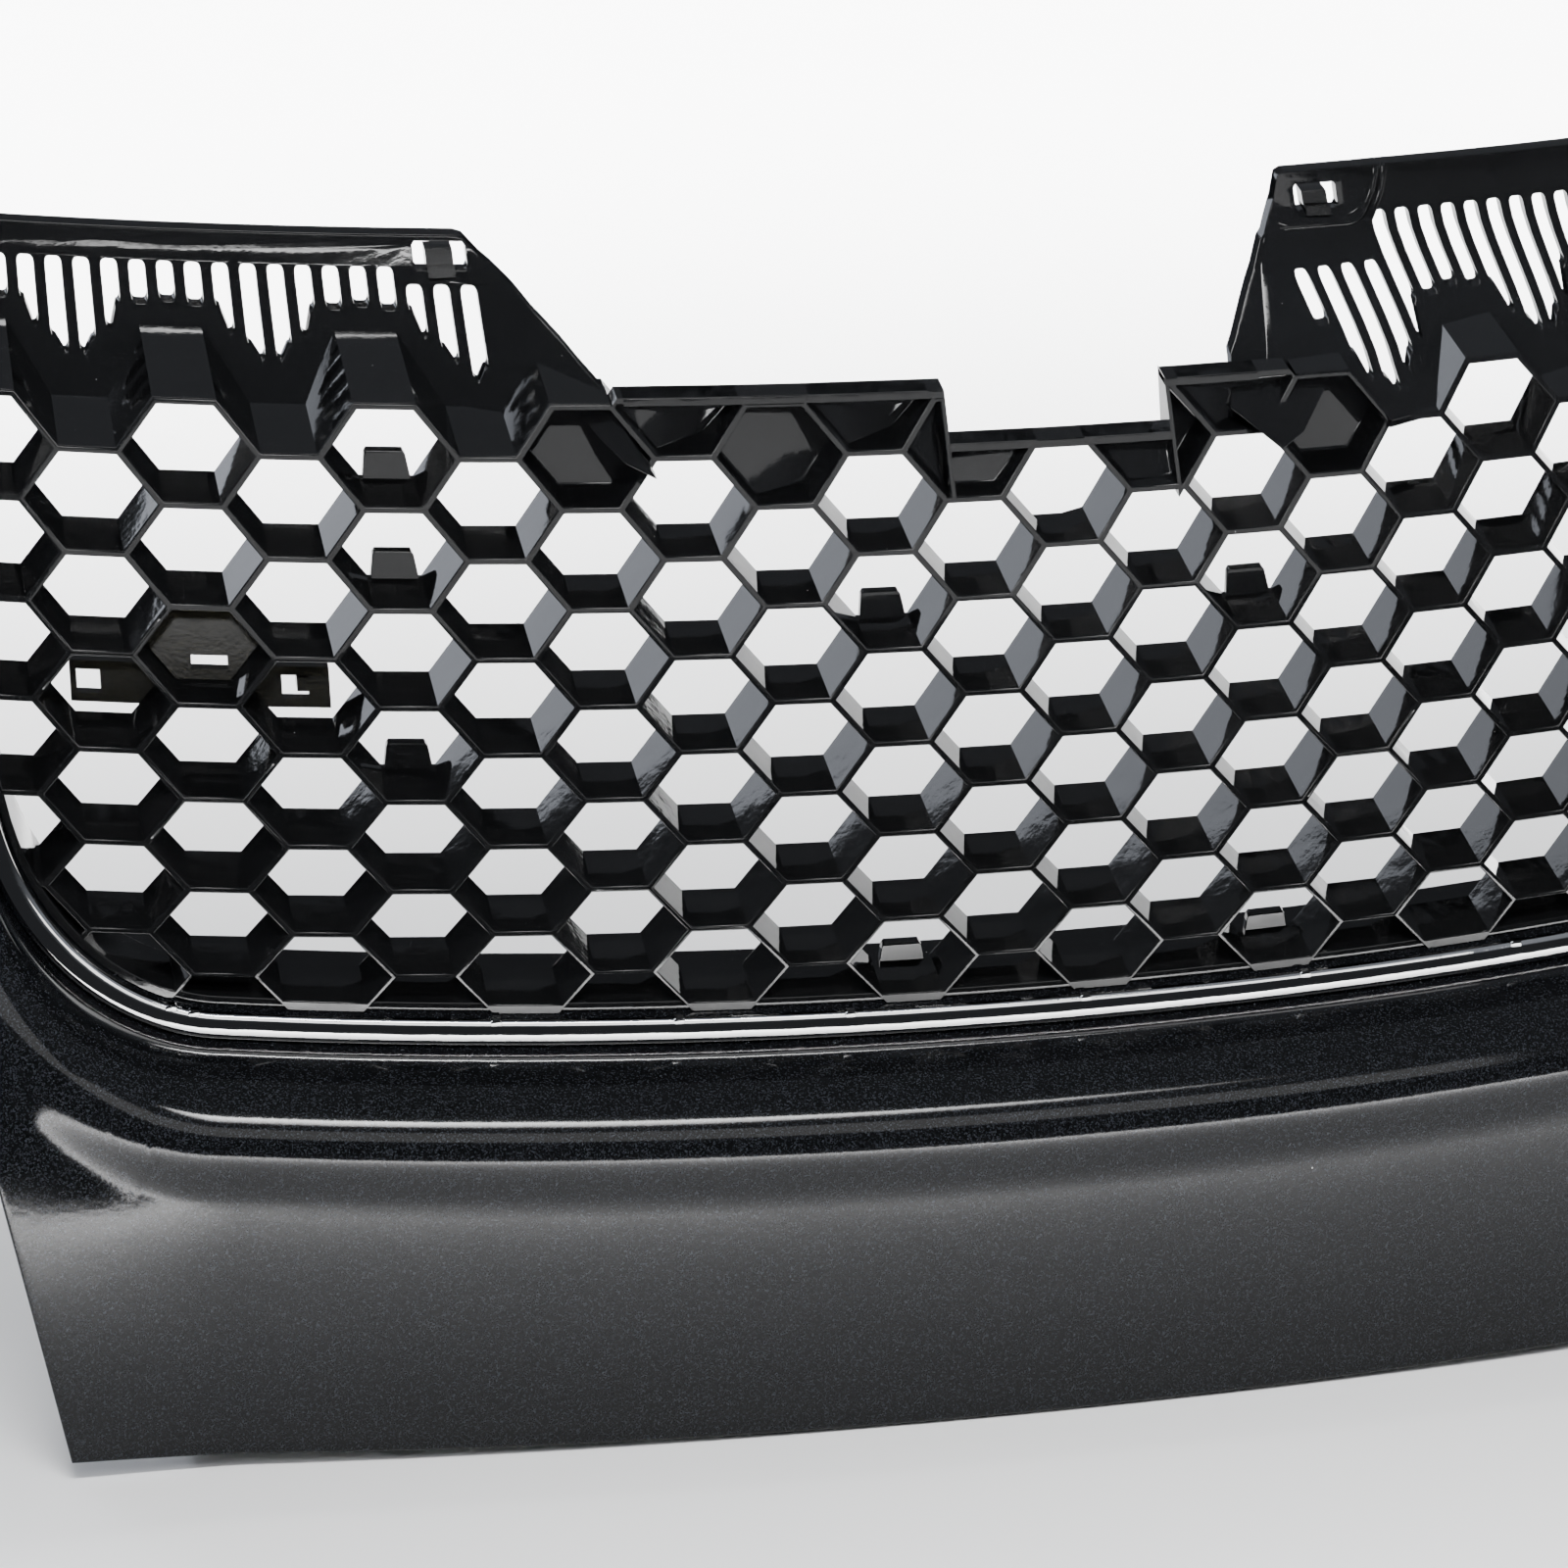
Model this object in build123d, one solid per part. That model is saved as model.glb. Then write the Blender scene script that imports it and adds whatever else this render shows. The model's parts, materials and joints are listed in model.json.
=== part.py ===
from build123d import *
from math import asin, cos, radians, sin, tan
import os

# Front grille assembly of a passenger car. Axes: +X towards the viewer's right, +Y towards the car's rear, +Z up.
# The moulding's own axes are the car's, turned by draw_tilt about X, so that +Y is the mould's draw direction.

# ---- driving dimensions, millimetres and degrees
draw_tilt = 18.0            # rise of the draw direction towards the rear

column_pitch = 27.5         # distance between two columns of cells
cell_height = 20.8          # height of a cell, wall middle to wall middle
cell_side = 16.6            # level side of a cell, corner to corner
level_wall = 1.7            # thickness of the level cell walls
slant_wall = 2.2            # thickness of the slanted cell walls
cell_depth = 17.0           # length of the cell walls along the draw
blank_set_back = 11.0       # a blank cell's floor lies this far behind the front
blank_floor = 2.5           # thickness of a blank cell's floor
tube_depth = 42.0           # length of the top cells' walls back to the slotted deck
rows_down = 9               # rows of cells below the middle row
outer_column = 10           # last column of cells, counted from the middle

plan_curve = 0.3281e-3      # front surface: y = plan_curve x^2 + plan_quartic x^4
plan_quartic = 0.0444e-8
lean = 0.9432               # + lean z + lean_change z^2 + twist x^2 z
lean_change = 2.4097e-3
twist = 0.3038e-6

u_bottom = -104.5           # lowest point of the opening's line, in the moulding's own axes
u_bottom_radius = 7700.0    # its gentle upward curve
u_corner_x = 222.0          # where the corner begins
u_corner_radius = 59.0
u_side_angle = 76.0         # rise of the straight sides
arm_top = 52.0              # top of the side arms

ledge_top = 33.0            # top of the moulding between the ears
ledge_half = 97.0
notch_left = -5.3           # clearance for the bonnet latch lever
notch_right = 61.0
notch_bottom = 22.0
left_ear_top = 49.0
left_ear_inner = -134.0
right_ear_top = 57.5
right_ear_inner = 117.0
deck_rise = 2.15            # slotted deck: y = start + deck_rise u - deck_bend u^2, u above the top cells
deck_bend = 0.028
deck_thick = 5.0            # measured along the draw
slots_per_pair = 7          # ventilation slots for two columns
slot_width = 4.6
slot_margin = 4.5           # web between a slot and the cells below
slot_top = 42.0
window_width = 15.5         # clip windows in the ears
window_height = 5.6
left_window = (-140.8, 44.8)
right_window = (129.5, 51.0)

rim_thick = 2.2             # moulding's rim wall, inside the opening's line
rim_depth = 24.0
rim_flange = 11.6           # flange that lies behind the surround
rim_flange_thick = 2.5

strip_width = 6.8           # bright strip, across the draw
strip_rise = 2.0            # how far the outer edge stands forward of the inner one
strip_crown = 1.6
panel_thick = 2.8
seat_gap = 0.3              # clearance between nested pieces
panel_bottom = -230.0       # lower edge of the surround, car axes
panel_half = 267.0          # half width of the lower edge
flange_thick = 2.5
return_depth = 17.0         # return wall of the surround around the opening
return_thick = 2.2
boss_radius = 4.0
boss_out = 7.0              # screw bosses, outwards from the opening's line
screw_stations = {"left": (-1.5, -2.3, -2.75), "right": (1.5, 2.3, 2.75), "bottom": (-0.8, -0.4, 0.0, 0.4, 0.8)}
screw_radius = 1.9
screw_head_radius = 4.0
screw_head_height = 2.4
drive_radius = 1.5          # socket in the screw head
drive_floor = 1.2
screw_length = 16.0
screw_gap = 0.4             # clearance of a screw in the piece it clamps
pilot_gap = 0.05
pilot_depth = 11.0          # pilot holes, from the clamped face
pad_rise = 5.0              # flat pads on the sloping flange, under the screw heads
stud_radius = 1.2           # studs on the back of the bright strip
stud_out = 5.1
stud_end = 4.0              # the studs' ends, behind the front surface
stud_stations = {"left": (-1.35, -1.8, -2.15, -2.55), "right": (1.35, 1.8, 2.15, 2.55),
                 "bottom": (-0.95, -0.6, -0.2, 0.2, 0.6, 0.95)}
clip_radius = 2.3           # push-on clips on the studs
clip_thick = 0.9
foam_thick = 2.2            # foam strip between the surround and the moulding's flange
rivet_hole = 4.0            # expansion nuts in the lower flange
rivet_pitch = 120.0
rivet_line = -58.0          # the holes' line, car axes
flange_rear = -48.0
flange_level = panel_bottom + 7.0   # top of the lower flange, car axes
bracket_x = 316.0           # side brackets: middle of the web, car axes
bracket_low = -30.0
bracket_high = 34.0
bracket_front = 56.0        # plane of the surround's towers
bracket_rear = 96.0         # plane that bolts to the bumper carrier
bracket_width = 22.0
bracket_thick = 2.5
bracket_hole = 3.3
bracket_hole_pitch = 40.0
tower_radius = 4.5
nut_wide = 13.0
nut_thick = 3.0
clip_wide = 8.0
rivet_bore = 2.5
tower_pitch = 36.0
bracket_screw = 12.0
bracket_pilot = 11.0
tower_x = 326.0
tower_slope = 0.25          # the towers follow the arm's lean
badge_bar = (-220.5, -34.0, 71.0, 9.0)   # middle x and z, width and height, moulding axes
badge_set_back = 10.5

tab_cells = [(-6, -2), (-6, 0), (-6, 4), (-1, 1), (3, 1), (-1, 9), (3, 9)]  # cells with an upright tab at the rear
tab_base = 14.0
tab_top = 11.0
tab_height = 7.0
tab_thick = 2.5

os.makedirs("parts", exist_ok=True)


# ---- the front surface and the opening's line, moulding axes
def front(x, z):
    return plan_curve * x**2 + plan_quartic * x**4 + lean * z + lean_change * z**2 + twist * x**2 * z


corner_start = asin(u_corner_x / u_bottom_radius)
corner_end = radians(u_side_angle)
corner_z = u_bottom + u_bottom_radius * (1 - cos(corner_start))
side_x = u_corner_x + u_corner_radius * (sin(corner_end) - sin(corner_start))
side_z = corner_z + u_corner_radius * (cos(corner_start) - cos(corner_end))
side_length = (arm_top - side_z) / sin(corner_end)


def u_line(t):
    """Point and outward normal of the opening's line: |t| 0..1 bottom, 1..2 corner, 2..3 side."""
    a = abs(t)
    if a <= 1:
        angle = corner_start * a
        x = u_bottom_radius * sin(angle)
        z = u_bottom + u_bottom_radius * (1 - cos(angle))
    elif a <= 2:
        angle = corner_start + (corner_end - corner_start) * (a - 1)
        x = u_corner_x + u_corner_radius * (sin(angle) - sin(corner_start))
        z = corner_z + u_corner_radius * (cos(corner_start) - cos(angle))
    else:
        angle = corner_end
        x = side_x + side_length * (a - 2) * cos(angle)
        z = side_z + side_length * (a - 2) * sin(angle)
    side = 1 if t >= 0 else -1
    return side * x, z, side * sin(angle), -cos(angle)


def offset_point(t, out, y=0.0):
    x, z, nx, nz = u_line(t)
    return (x + nx * out, y, z + nz * out)


def u_face(out, top, y=-300.0):
    """Face across the draw, inside the opening's line moved outwards by out, up to z = top."""
    x, z, nx, nz = u_line(2)
    reach = (top - (z + nz * out)) / sin(corner_end)
    side_top = (x + nx * out + reach * cos(corner_end), y, top)
    edges = [
        Edge.make_line((-side_top[0], y, top), offset_point(-2, out, y)),
        Edge.make_three_point_arc(offset_point(-2, out, y), offset_point(-1.5, out, y), offset_point(-1, out, y)),
        Edge.make_three_point_arc(offset_point(-1, out, y), offset_point(0, out, y), offset_point(1, out, y)),
        Edge.make_three_point_arc(offset_point(1, out, y), offset_point(1.5, out, y), offset_point(2, out, y)),
        Edge.make_line(offset_point(2, out, y), side_top),
        Edge.make_line(side_top, (-side_top[0], y, top)),
    ]
    return Face(Wire(edges))


def outline(points, y=-300.0):
    return Face(Wire.make_polygon([(x, y, z) for x, z in points]))


def along_draw(faces, length=700.0):
    solids = [Solid.extrude(f, Vector(0, length, 0)) for f in faces]
    return solids


def bernstein(n, k, t):
    comb = 1
    for i in range(k):
        comb = comb * (n - i) // (i + 1)
    return comb * t**k * (1 - t) ** (n - k)


def solve(matrix, right):
    """Gaussian elimination with pivoting, for small systems."""
    n = len(right)
    rows = [list(matrix[i]) + [right[i]] for i in range(n)]
    for i in range(n):
        pivot = max(range(i, n), key=lambda r: abs(rows[r][i]))
        rows[i], rows[pivot] = rows[pivot], rows[i]
        for r in range(n):
            if r != i:
                share = rows[r][i] / rows[i][i]
                rows[r] = [a - share * b for a, b in zip(rows[r], rows[i])]
    return [rows[i][n] / rows[i][i] for i in range(n)]


def patch(height, x_span, z_span, nx=4, nz=2):
    """Bezier face y = height(x, z), exact for a polynomial of degree nx in x and nz in z."""
    ts = [i / nx for i in range(nx + 1)]
    us = [j / nz for j in range(nz + 1)]
    xs = [x_span[0] + (x_span[1] - x_span[0]) * t for t in ts]
    zs = [z_span[0] + (z_span[1] - z_span[0]) * u for u in us]
    mx = [[bernstein(nx, k, t) for k in range(nx + 1)] for t in ts]
    mz = [[bernstein(nz, k, u) for k in range(nz + 1)] for u in us]
    by_x = [solve(mx, [height(x, z) for x in xs]) for z in zs]
    poles = [solve(mz, [by_x[j][i] for j in range(nz + 1)]) for i in range(nx + 1)]
    grid = [[Vector(xs[i], poles[i][j], zs[j]) for j in range(nz + 1)] for i in range(nx + 1)]
    return Face.make_bezier_surface(grid)


def slab(height, start, depth, x_span=(-380, 380), z_span=(-160, 90)):
    """Solid between y = height + start and y = height + start + depth."""
    face = patch(lambda x, z: height(x, z) + start, x_span, z_span)
    return Solid.extrude(face, Vector(0, depth, 0))


def meet(solids, body):
    """The part of each solid that lies in body."""
    found = []
    for one in solids:
        common = one & body
        if common is not None:
            found += list(common.solids())
    return found


def join(solids):
    first, rest = solids[0], solids[1:]
    return first.fuse(*rest) if rest else first


def cut(body, tools):
    return body.cut(*tools) if tools else body


def turned(shape):
    return shape.rotate(Axis.X, draw_tilt)


def all_solids(shape):
    items = shape if isinstance(shape, (list, tuple)) else [shape]
    return [s for item in items for s in item.solids()]


nodes = {}


def keep(name, shape):
    nodes[name] = all_solids(shape)


# ---- honeycomb moulding
slant_run = column_pitch - cell_side
cell_half = cell_height / 2


def cell_polygon(column, row, level=level_wall, slant=slant_wall):
    """Clear shape of a cell between walls of the two thicknesses."""
    x, z = column * column_pitch, -row * cell_half
    slope = (slant_run**2 + cell_half**2) ** 0.5
    tip = cell_side / 2 + slant_run - slant / 2 * slope / cell_half
    high = cell_half - level / 2
    flat = tip - high * slant_run / cell_half
    return [(x + flat, z + high), (x + tip, z), (x + flat, z - high),
            (x - flat, z - high), (x - tip, z), (x - flat, z + high)]


def zigzag(lift=0.0, reach=outer_column + 2, first=4):
    """Upper edge of the top cells, from the outer column in to column first, as points on the right side."""
    points = []
    for column in range(first, reach + 1):
        z = (3 if column % 2 == 0 else 2) * cell_half + lift
        points.append((column * column_pitch - cell_side / 2, z))
        points.append((column * column_pitch + cell_side / 2, z))
    return points


def top_edge(lift, ledge_drop=0.0):
    """The moulding's upper edge from left to right, ears left out."""
    right = zigzag(lift)
    left = [(-x, z) for x, z in reversed(right)]
    high = ledge_top - ledge_drop
    near, far = notch_left - ledge_drop, notch_right + ledge_drop
    low = notch_bottom - ledge_drop
    middle = [(-ledge_half, high), (near, high), (near, low), (far, low), (far, high), (ledge_half, high)]
    return left + middle + right


def below(points, floor=-150.0):
    return outline(points + [(points[-1][0], floor), (points[0][0], floor)])


body_area = below(top_edge(level_wall / 2)) & u_face(0, 60)
clear_area = below(top_edge(level_wall / 2, level_wall)) & u_face(-rim_thick, 60)

open_cells, blank_cells = [], []
for column in range(-outer_column, outer_column + 1):
    for row in range(-3, rows_down + 1):
        if (column + row) % 2 or row < (-3 if abs(column) <= 3 else -2):
            continue
        blank = row == -3 or (row == -2 and abs(column) <= 4) or (column == -8 and row == 2)
        (blank_cells if blank else open_cells).append((column, row))

cell_faces = {cell: outline(cell_polygon(*cell)) for cell in open_cells + blank_cells}
clear_faces = {}
for cell, face in cell_faces.items():
    inside = face & clear_area
    if inside is not None:
        pieces = [f for f in inside.faces() if f.area > 12]
        if pieces:
            clear_faces[cell] = pieces
cut_faces = [f for pieces in clear_faces.values() for f in pieces]
wall_area = body_area.cut(*cut_faces)
walls = meet(along_draw(wall_area.faces()), slab(front, 0, cell_depth))
badge_cell = (-8, 2)
floors = []
for cell in blank_cells:
    if cell in clear_faces and cell != badge_cell:
        grown = outline(cell_polygon(*cell, level=0.4, slant=0.4)) & body_area
        floors += meet(along_draw(grown.faces()), slab(front, blank_set_back, blank_floor))


def deck(x, z):
    u = z - 3 * cell_half
    return front(x, 3 * cell_half) + tube_depth + deck_rise * u - deck_bend * u**2


def ear(side):
    """Slotted deck, tube walls and clip window of one ear."""
    top = right_ear_top if side > 0 else left_ear_top
    inner = abs(right_ear_inner if side > 0 else left_ear_inner)
    window_x, window_z = right_window if side > 0 else left_window
    outer = 330.0
    plan = [(inner, top), (outer, top), (outer, 10), (ledge_half, 10), (ledge_half, 22.0), (inner - 15, 37.0)]
    plan = [(side * x, z) for x, z in plan]
    area = outline(plan) & u_face(-rim_thick, 80)
    holes = []
    pitch = 2 * column_pitch / slots_per_pair
    for pair in range(2, outer_column // 2 + 1):
        for k in range(-3, 4):
            x = 2 * pair * column_pitch + k * pitch
            if x < inner - 2 or x > side_x + 12:
                continue
            fold = max(0.0, min(1.0, (abs(k * pitch) - cell_side / 2 + 1) / slant_run))
            low = 3 * cell_half - fold * cell_half + slot_margin
            high = slot_top
            if x < abs(window_x) + window_width / 2 + 4:
                high = window_z - window_height / 2 - 3.5
            if high - low < 3:
                continue
            half = slot_width / 2
            holes.append(outline([(side * (x - half), low), (side * (x - half), high),
                                  (side * (x + half), high), (side * (x + half), low)]))
    wx, wz = window_x, window_z
    w, h = window_width / 2, window_height / 2
    holes.append(outline([(wx - w, wz - h), (wx + w, wz - h), (wx + w, wz + h), (wx - w, wz + h)]))
    under = below(top_edge(-level_wall / 2))
    plate = area.cut(under).cut(*holes)
    sheets = meet(along_draw(plate.faces()), slab(deck, 0, deck_thick, z_span=(0, 90)))
    band = outline([(side * x, z) for x, z in zigzag(level_wall / 2)[1:]]
                   + [(side * x, z) for x, z in reversed(zigzag(-level_wall / 2)[1:])]) & u_face(-rim_thick / 2, 60)
    tubes = meet(along_draw(band.faces()), slab(front, cell_depth - 1, tube_depth + 20, z_span=(0, 90)))
    behind = slab(deck, deck_thick - 1.0, 120, z_span=(-30, 90))
    tubes = [s for t in tubes for s in t.cut(behind).solids()]
    return sheets + tubes


rim_area = u_face(0, arm_top) - u_face(-rim_thick, arm_top + 20)
rim = meet(along_draw(rim_area.faces()), slab(front, 1.0, rim_depth))
flange_area = u_face(rim_flange, arm_top) - u_face(-0.5, arm_top + 20)
flange = meet(along_draw(flange_area.faces()), slab(front, return_depth + foam_thick + seat_gap, rim_flange_thick))


def draw_cylinder(t, out, radius, ahead, behind):
    """Cylinder along the draw near the line, from ahead of the front surface to behind it."""
    x, z, nx, nz = u_line(t)
    cx, cz = x + nx * out, z + nz * out
    disc = Face(Wire.make_circle(radius, Plane(origin=(cx, front(x, z) - ahead, cz), z_dir=(0, 1, 0))))
    return Solid.extrude(disc, Vector(0, ahead + behind, 0))


tabs = []
for column, row in tab_cells:
    x, z = column * column_pitch, -row * cell_half
    foot = z - cell_half
    shape = outline([(x - tab_base / 2, foot), (x + tab_base / 2, foot),
                     (x + tab_top / 2, foot + tab_height), (x - tab_top / 2, foot + tab_height)])
    tabs += meet(along_draw([shape]), slab(front, cell_depth - tab_thick, tab_thick))

flange_front = return_depth + foam_thick + seat_gap
seat_depth = flange_front + rim_flange_thick + pad_rise
screw_holes = [draw_cylinder(t, boss_out, screw_radius + screw_gap, -rim_depth / 2, seat_depth + 1)
               for group in screw_stations.values() for t in group]
pads = meet([draw_cylinder(t, boss_out, screw_head_radius + 1, 0, seat_depth)
             for group in screw_stations.values() for t in group], slab(front, flange_front, 40))
grille = join(walls + floors + ear(1) + ear(-1) + rim + flange + pads + tabs).cut(*screw_holes)
keep("honeycomb_grille", turned(grille))


# ---- lofts along the opening's line
def section(t, profile):
    """Closed wire across the line: profile gives (outward, forward) pairs, moulding axes."""
    x, z, nx, nz = u_line(t)
    base = front(x, z)
    return [Vector(x + nx * out, base - ahead, z + nz * out) for out, ahead in profile]


stations = [-3, -2.6, -2.3, -2, -1.85, -1.7, -1.55, -1.4, -1.25, -1.12, -1, -0.75, -0.5, -0.25, 0,
            0.25, 0.5, 0.75, 1, 1.12, 1.25, 1.4, 1.55, 1.7, 1.85, 2, 2.3, 2.6, 3]


def lip(t):
    """Front profile of the surround at station t, from the seat outwards: (outward, forward) pairs."""
    a = abs(t)
    share = max(0.0, min(1.0, (2.5 - a) / 1.0))
    share = share * share * (3 - 2 * share)
    seat = [(seat_gap, 1.9), (strip_width + 0.2, 1.9 + strip_rise)]
    low = [(strip_width + 0.4, 7.5), (6.4, 13), (5.9, 20), (6.3, 27), (8.0, 34), (11.5, 40.4), (30, 50.2),
           (55, 62.5), (80, 74.4), (100, 83.5), (135, 98)]
    high = [(strip_width + 0.4, 6.5), (7.0, 8.5), (7.4, 10.5), (8.2, 12.2), (9.8, 13.6), (12.5, 14.6), (18, 14.6),
            (26, 12.5), (34, 9), (42, 4), (54, -5)]
    return seat + [(share * p[0] + (1 - share) * q[0], share * p[1] + (1 - share) * q[1]) for p, q in zip(low, high)]


def thickened(line, thick):
    """Closed outline: the line and its offset by thick on the right-hand side, walking outwards."""
    back = []
    for i, (a, b) in enumerate(line):
        before = line[max(i - 1, 0)]
        after = line[min(i + 1, len(line) - 1)]
        run = [(a - before[0], b - before[1]), (after[0] - a, after[1] - b)]
        dirs = [(u / (u * u + v * v) ** 0.5, v / (u * u + v * v) ** 0.5) for u, v in run if abs(u) + abs(v) > 1e-9]
        mid = (sum(d[0] for d in dirs) / len(dirs), sum(d[1] for d in dirs) / len(dirs))
        size = max(0.45, (mid[0] ** 2 + mid[1] ** 2) ** 0.5)
        unit = (mid[0] / size / size, mid[1] / size / size)
        back.append((a + unit[1] * thick, b - unit[0] * thick))
    return line + back[::-1]


def profile_loft(profile_at, start=-3, end=3):
    """Loft of closed sections along the opening's line, each the same number of points."""
    wires = []
    for t in [s for s in stations if start <= s <= end]:
        wires.append(Wire.make_polygon(section(t, profile_at(t))))
    return Solid.make_loft(wires, ruled=True)


def strip_section(t):
    high = 3.4 + strip_rise
    return [(seat_gap, 2.2), (seat_gap, 3.4), (1.8, 3.4 + strip_crown), (4.4, high + strip_crown * 0.75),
            (strip_width, high), (strip_width, 2.2 + strip_rise)]


studs = {side: [draw_cylinder(t, stud_out, stud_radius, 4.4, stud_end) for t in group]
         for side, group in stud_stations.items()}
strip = join([profile_loft(strip_section)] + [s for group in studs.values() for s in group])
keep("chrome_trim", turned(strip))
for side, group in stud_stations.items():
    clips = []
    for t in group:
        ring = draw_cylinder(t, stud_out, clip_radius, clip_thick + 0.7 - stud_end, stud_end - 0.7)
        clips.append(ring - draw_cylinder(t, stud_out, stud_radius, 0, stud_end + 1))
    keep("trim_clips_" + side, [turned(c) for c in clips])

# ---- surround
skin = turned(profile_loft(lambda t: thickened(lip(t), panel_thick)))


def car_point(t, k):
    """Car-axes point of the k-th profile point at station t."""
    point = section(t, [lip(t)[k]])[0]
    c, s = cos(radians(draw_tilt)), sin(radians(draw_tilt))
    return point.X, point.Y * c - point.Z * s, point.Y * s + point.Z * c


def skin_y(x, z):
    """Front of the surround at x, z in car axes: the nearest of a fine net of profile points, blended."""
    near = []
    for i in range(121):
        t = 3.0 * i / 120 * (1 if x >= 0 else -1)
        line = [car_point(t, k) for k in range(7, 13)]
        for a, b in zip(line, line[1:]):
            for j in range(9):
                f = j / 8
                p = [a[n] + (b[n] - a[n]) * f for n in range(3)]
                near.append(((p[0] - x) ** 2 + (p[2] - z) ** 2, p[1]))
    near.sort()
    best = near[:4]
    total = sum(1 / (0.01 + d) for d, y in best)
    return sum(y / (0.01 + d) for d, y in best) / total


edge_points = [(panel_half + 3, panel_bottom + 5), (284, -154), (291, -120), (306, -80), (324, -40), (337, 5),
               (346, 60), (352, 120)]
right_edge = Edge.make_spline([Vector(x, -300, z) for x, z in edge_points])
left_edge = Edge.make_spline([Vector(-x, -300, z) for x, z in edge_points])
low_edge = Edge.make_three_point_arc(Vector(-panel_half - 3, -300, panel_bottom + 5), Vector(0, -300, panel_bottom),
                                     Vector(panel_half + 3, -300, panel_bottom + 5))
high_edge = Edge.make_line(Vector(-352, -300, 120), Vector(352, -300, 120))
panel_area = Solid.extrude(Face(Wire([low_edge, right_edge, high_edge, left_edge])), Vector(0, 600, 0))
panel = meet([skin], panel_area)


def return_section(t):
    return [(seat_gap, 0.5), (seat_gap, -return_depth), (seat_gap + return_thick, -return_depth),
            (seat_gap + return_thick, 0.5)]


returns = turned(profile_loft(return_section))
behind_boss = slab(front, flange_front - 0.05, 60)
before_seat = profile_loft(lambda t: [(0, 0.6), (strip_width + 0.3, 2.6), (strip_width + 0.3, 60), (0, 60)])
bosses = [turned(draw_cylinder(t, boss_out, boss_radius, 4, flange_front + 10).cut(behind_boss, before_seat))
          for group in screw_stations.values() for t in group]
pilots = [turned(draw_cylinder(t, boss_out, screw_radius + pilot_gap, pilot_depth - flange_front, flange_front + 10))
          for group in screw_stations.values() for t in group]

# lower flange, level, from the panel's back to a straight rear edge
flange_points = []
for i in range(-10, 11):
    x = i * 24.0
    flange_points.append((x, skin_y(x, flange_level - flange_thick / 2) + 1.5))
first, last = flange_points[0], flange_points[-1]
corners = [Vector(x, y, flange_level) for x, y in (last, (last[0], flange_rear), (first[0], flange_rear), first)]
flange_edges = [Edge.make_spline([Vector(x, y, flange_level) for x, y in flange_points])]
flange_edges += [Edge.make_line(a, b) for a, b in zip(corners, corners[1:])]
flange_face = Face(Wire(flange_edges))
lower_flange = Solid.extrude(flange_face, Vector(0, 0, -flange_thick))
rivet_places = [(-1.5 + i) * rivet_pitch for i in range(4)]


def upright(x, y, z, radius, height):
    return Solid.make_cylinder(radius, height, Plane(origin=(x, y, z), z_dir=(0, 0, 1)))


def level(x, y, z, radius, length):
    return Solid.make_cylinder(radius, length, Plane(origin=(x, y, z), z_dir=(0, 1, 0)))


lower_flange = cut(lower_flange, [upright(x, rivet_line, flange_level - 10, rivet_hole, 20) for x in rivet_places])
towers, tower_holes, tower_places = [], [], []
for side in (-1, 1):
    for i in (-0.5, 0.5):
        z = i * tower_pitch
        x = side * (tower_x + tower_slope * z)
        y = skin_y(x, z) + 1.4
        tower_places.append((side, x, z))
        towers.append(level(x, y, z, tower_radius, bracket_front - y))
        tower_holes.append(level(x, bracket_front - bracket_pilot, z, screw_radius + pilot_gap, bracket_pilot + 1))
stud_holes = [turned(draw_cylinder(t, stud_out, stud_radius + 0.2, 9, 4)) for g in stud_stations.values() for t in g]
surround = join(panel + [returns] + bosses + [lower_flange] + towers)
surround = cut(surround, pilots + tower_holes + stud_holes)
keep("surround_panel", surround)

# ---- fasteners between the moulding and the surround
for side, group in screw_stations.items():
    screws = []
    for t in group:
        shank = draw_cylinder(t, boss_out, screw_radius, screw_length - seat_depth, seat_depth + 0.5)
        head = draw_cylinder(t, boss_out, screw_head_radius, -seat_depth, seat_depth + screw_head_height)
        slot = draw_cylinder(t, boss_out, drive_radius, -(seat_depth + drive_floor), seat_depth + screw_head_height + 1)
        screws.append(turned(shank.fuse(head) - slot))
    keep("moulding_screws_" + side, screws)


def foam_section(t):
    near, far = -return_depth - 0.05, -return_depth - foam_thick
    return [(seat_gap, near), (seat_gap, far), (seat_gap + return_thick, far), (seat_gap + return_thick, near)]


for side, span in {"left": (-3, -1.12), "bottom": (-1, 1), "right": (1.12, 3)}.items():
    keep("foam_strip_" + side, turned(profile_loft(foam_section, *span).cut(slab(front, flange_front - 0.05, 40))))

# ---- clips in the windows of the ears
for side, (wx, wz) in {"left": left_window, "right": right_window}.items():
    sill = wz - window_height / 2
    y0 = deck(wx, sill)
    rise = (deck(wx, sill + 1) - deck(wx, sill - 1)) / 2
    rear = deck_thick + 0.6
    leaning = [(-1.1, -0.9), (-0.4, -0.9), (-0.4, 0.3), (rear, 0.3), (rear, -3.0), (rear + 1.8, -3.0),
               (rear + 1.8, 3.4), (1.6, 3.4), (1.6, 0.9), (-1.1, 0.9)]
    points = [(ahead + rise * lift, sill + lift) for ahead, lift in leaning]
    shape = Face(Wire.make_polygon([(wx - clip_wide / 2, y0 + y, z) for y, z in points]))
    keep("upper_clip_" + side, turned(Solid.extrude(shape, Vector(clip_wide, 0, 0))))

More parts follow.
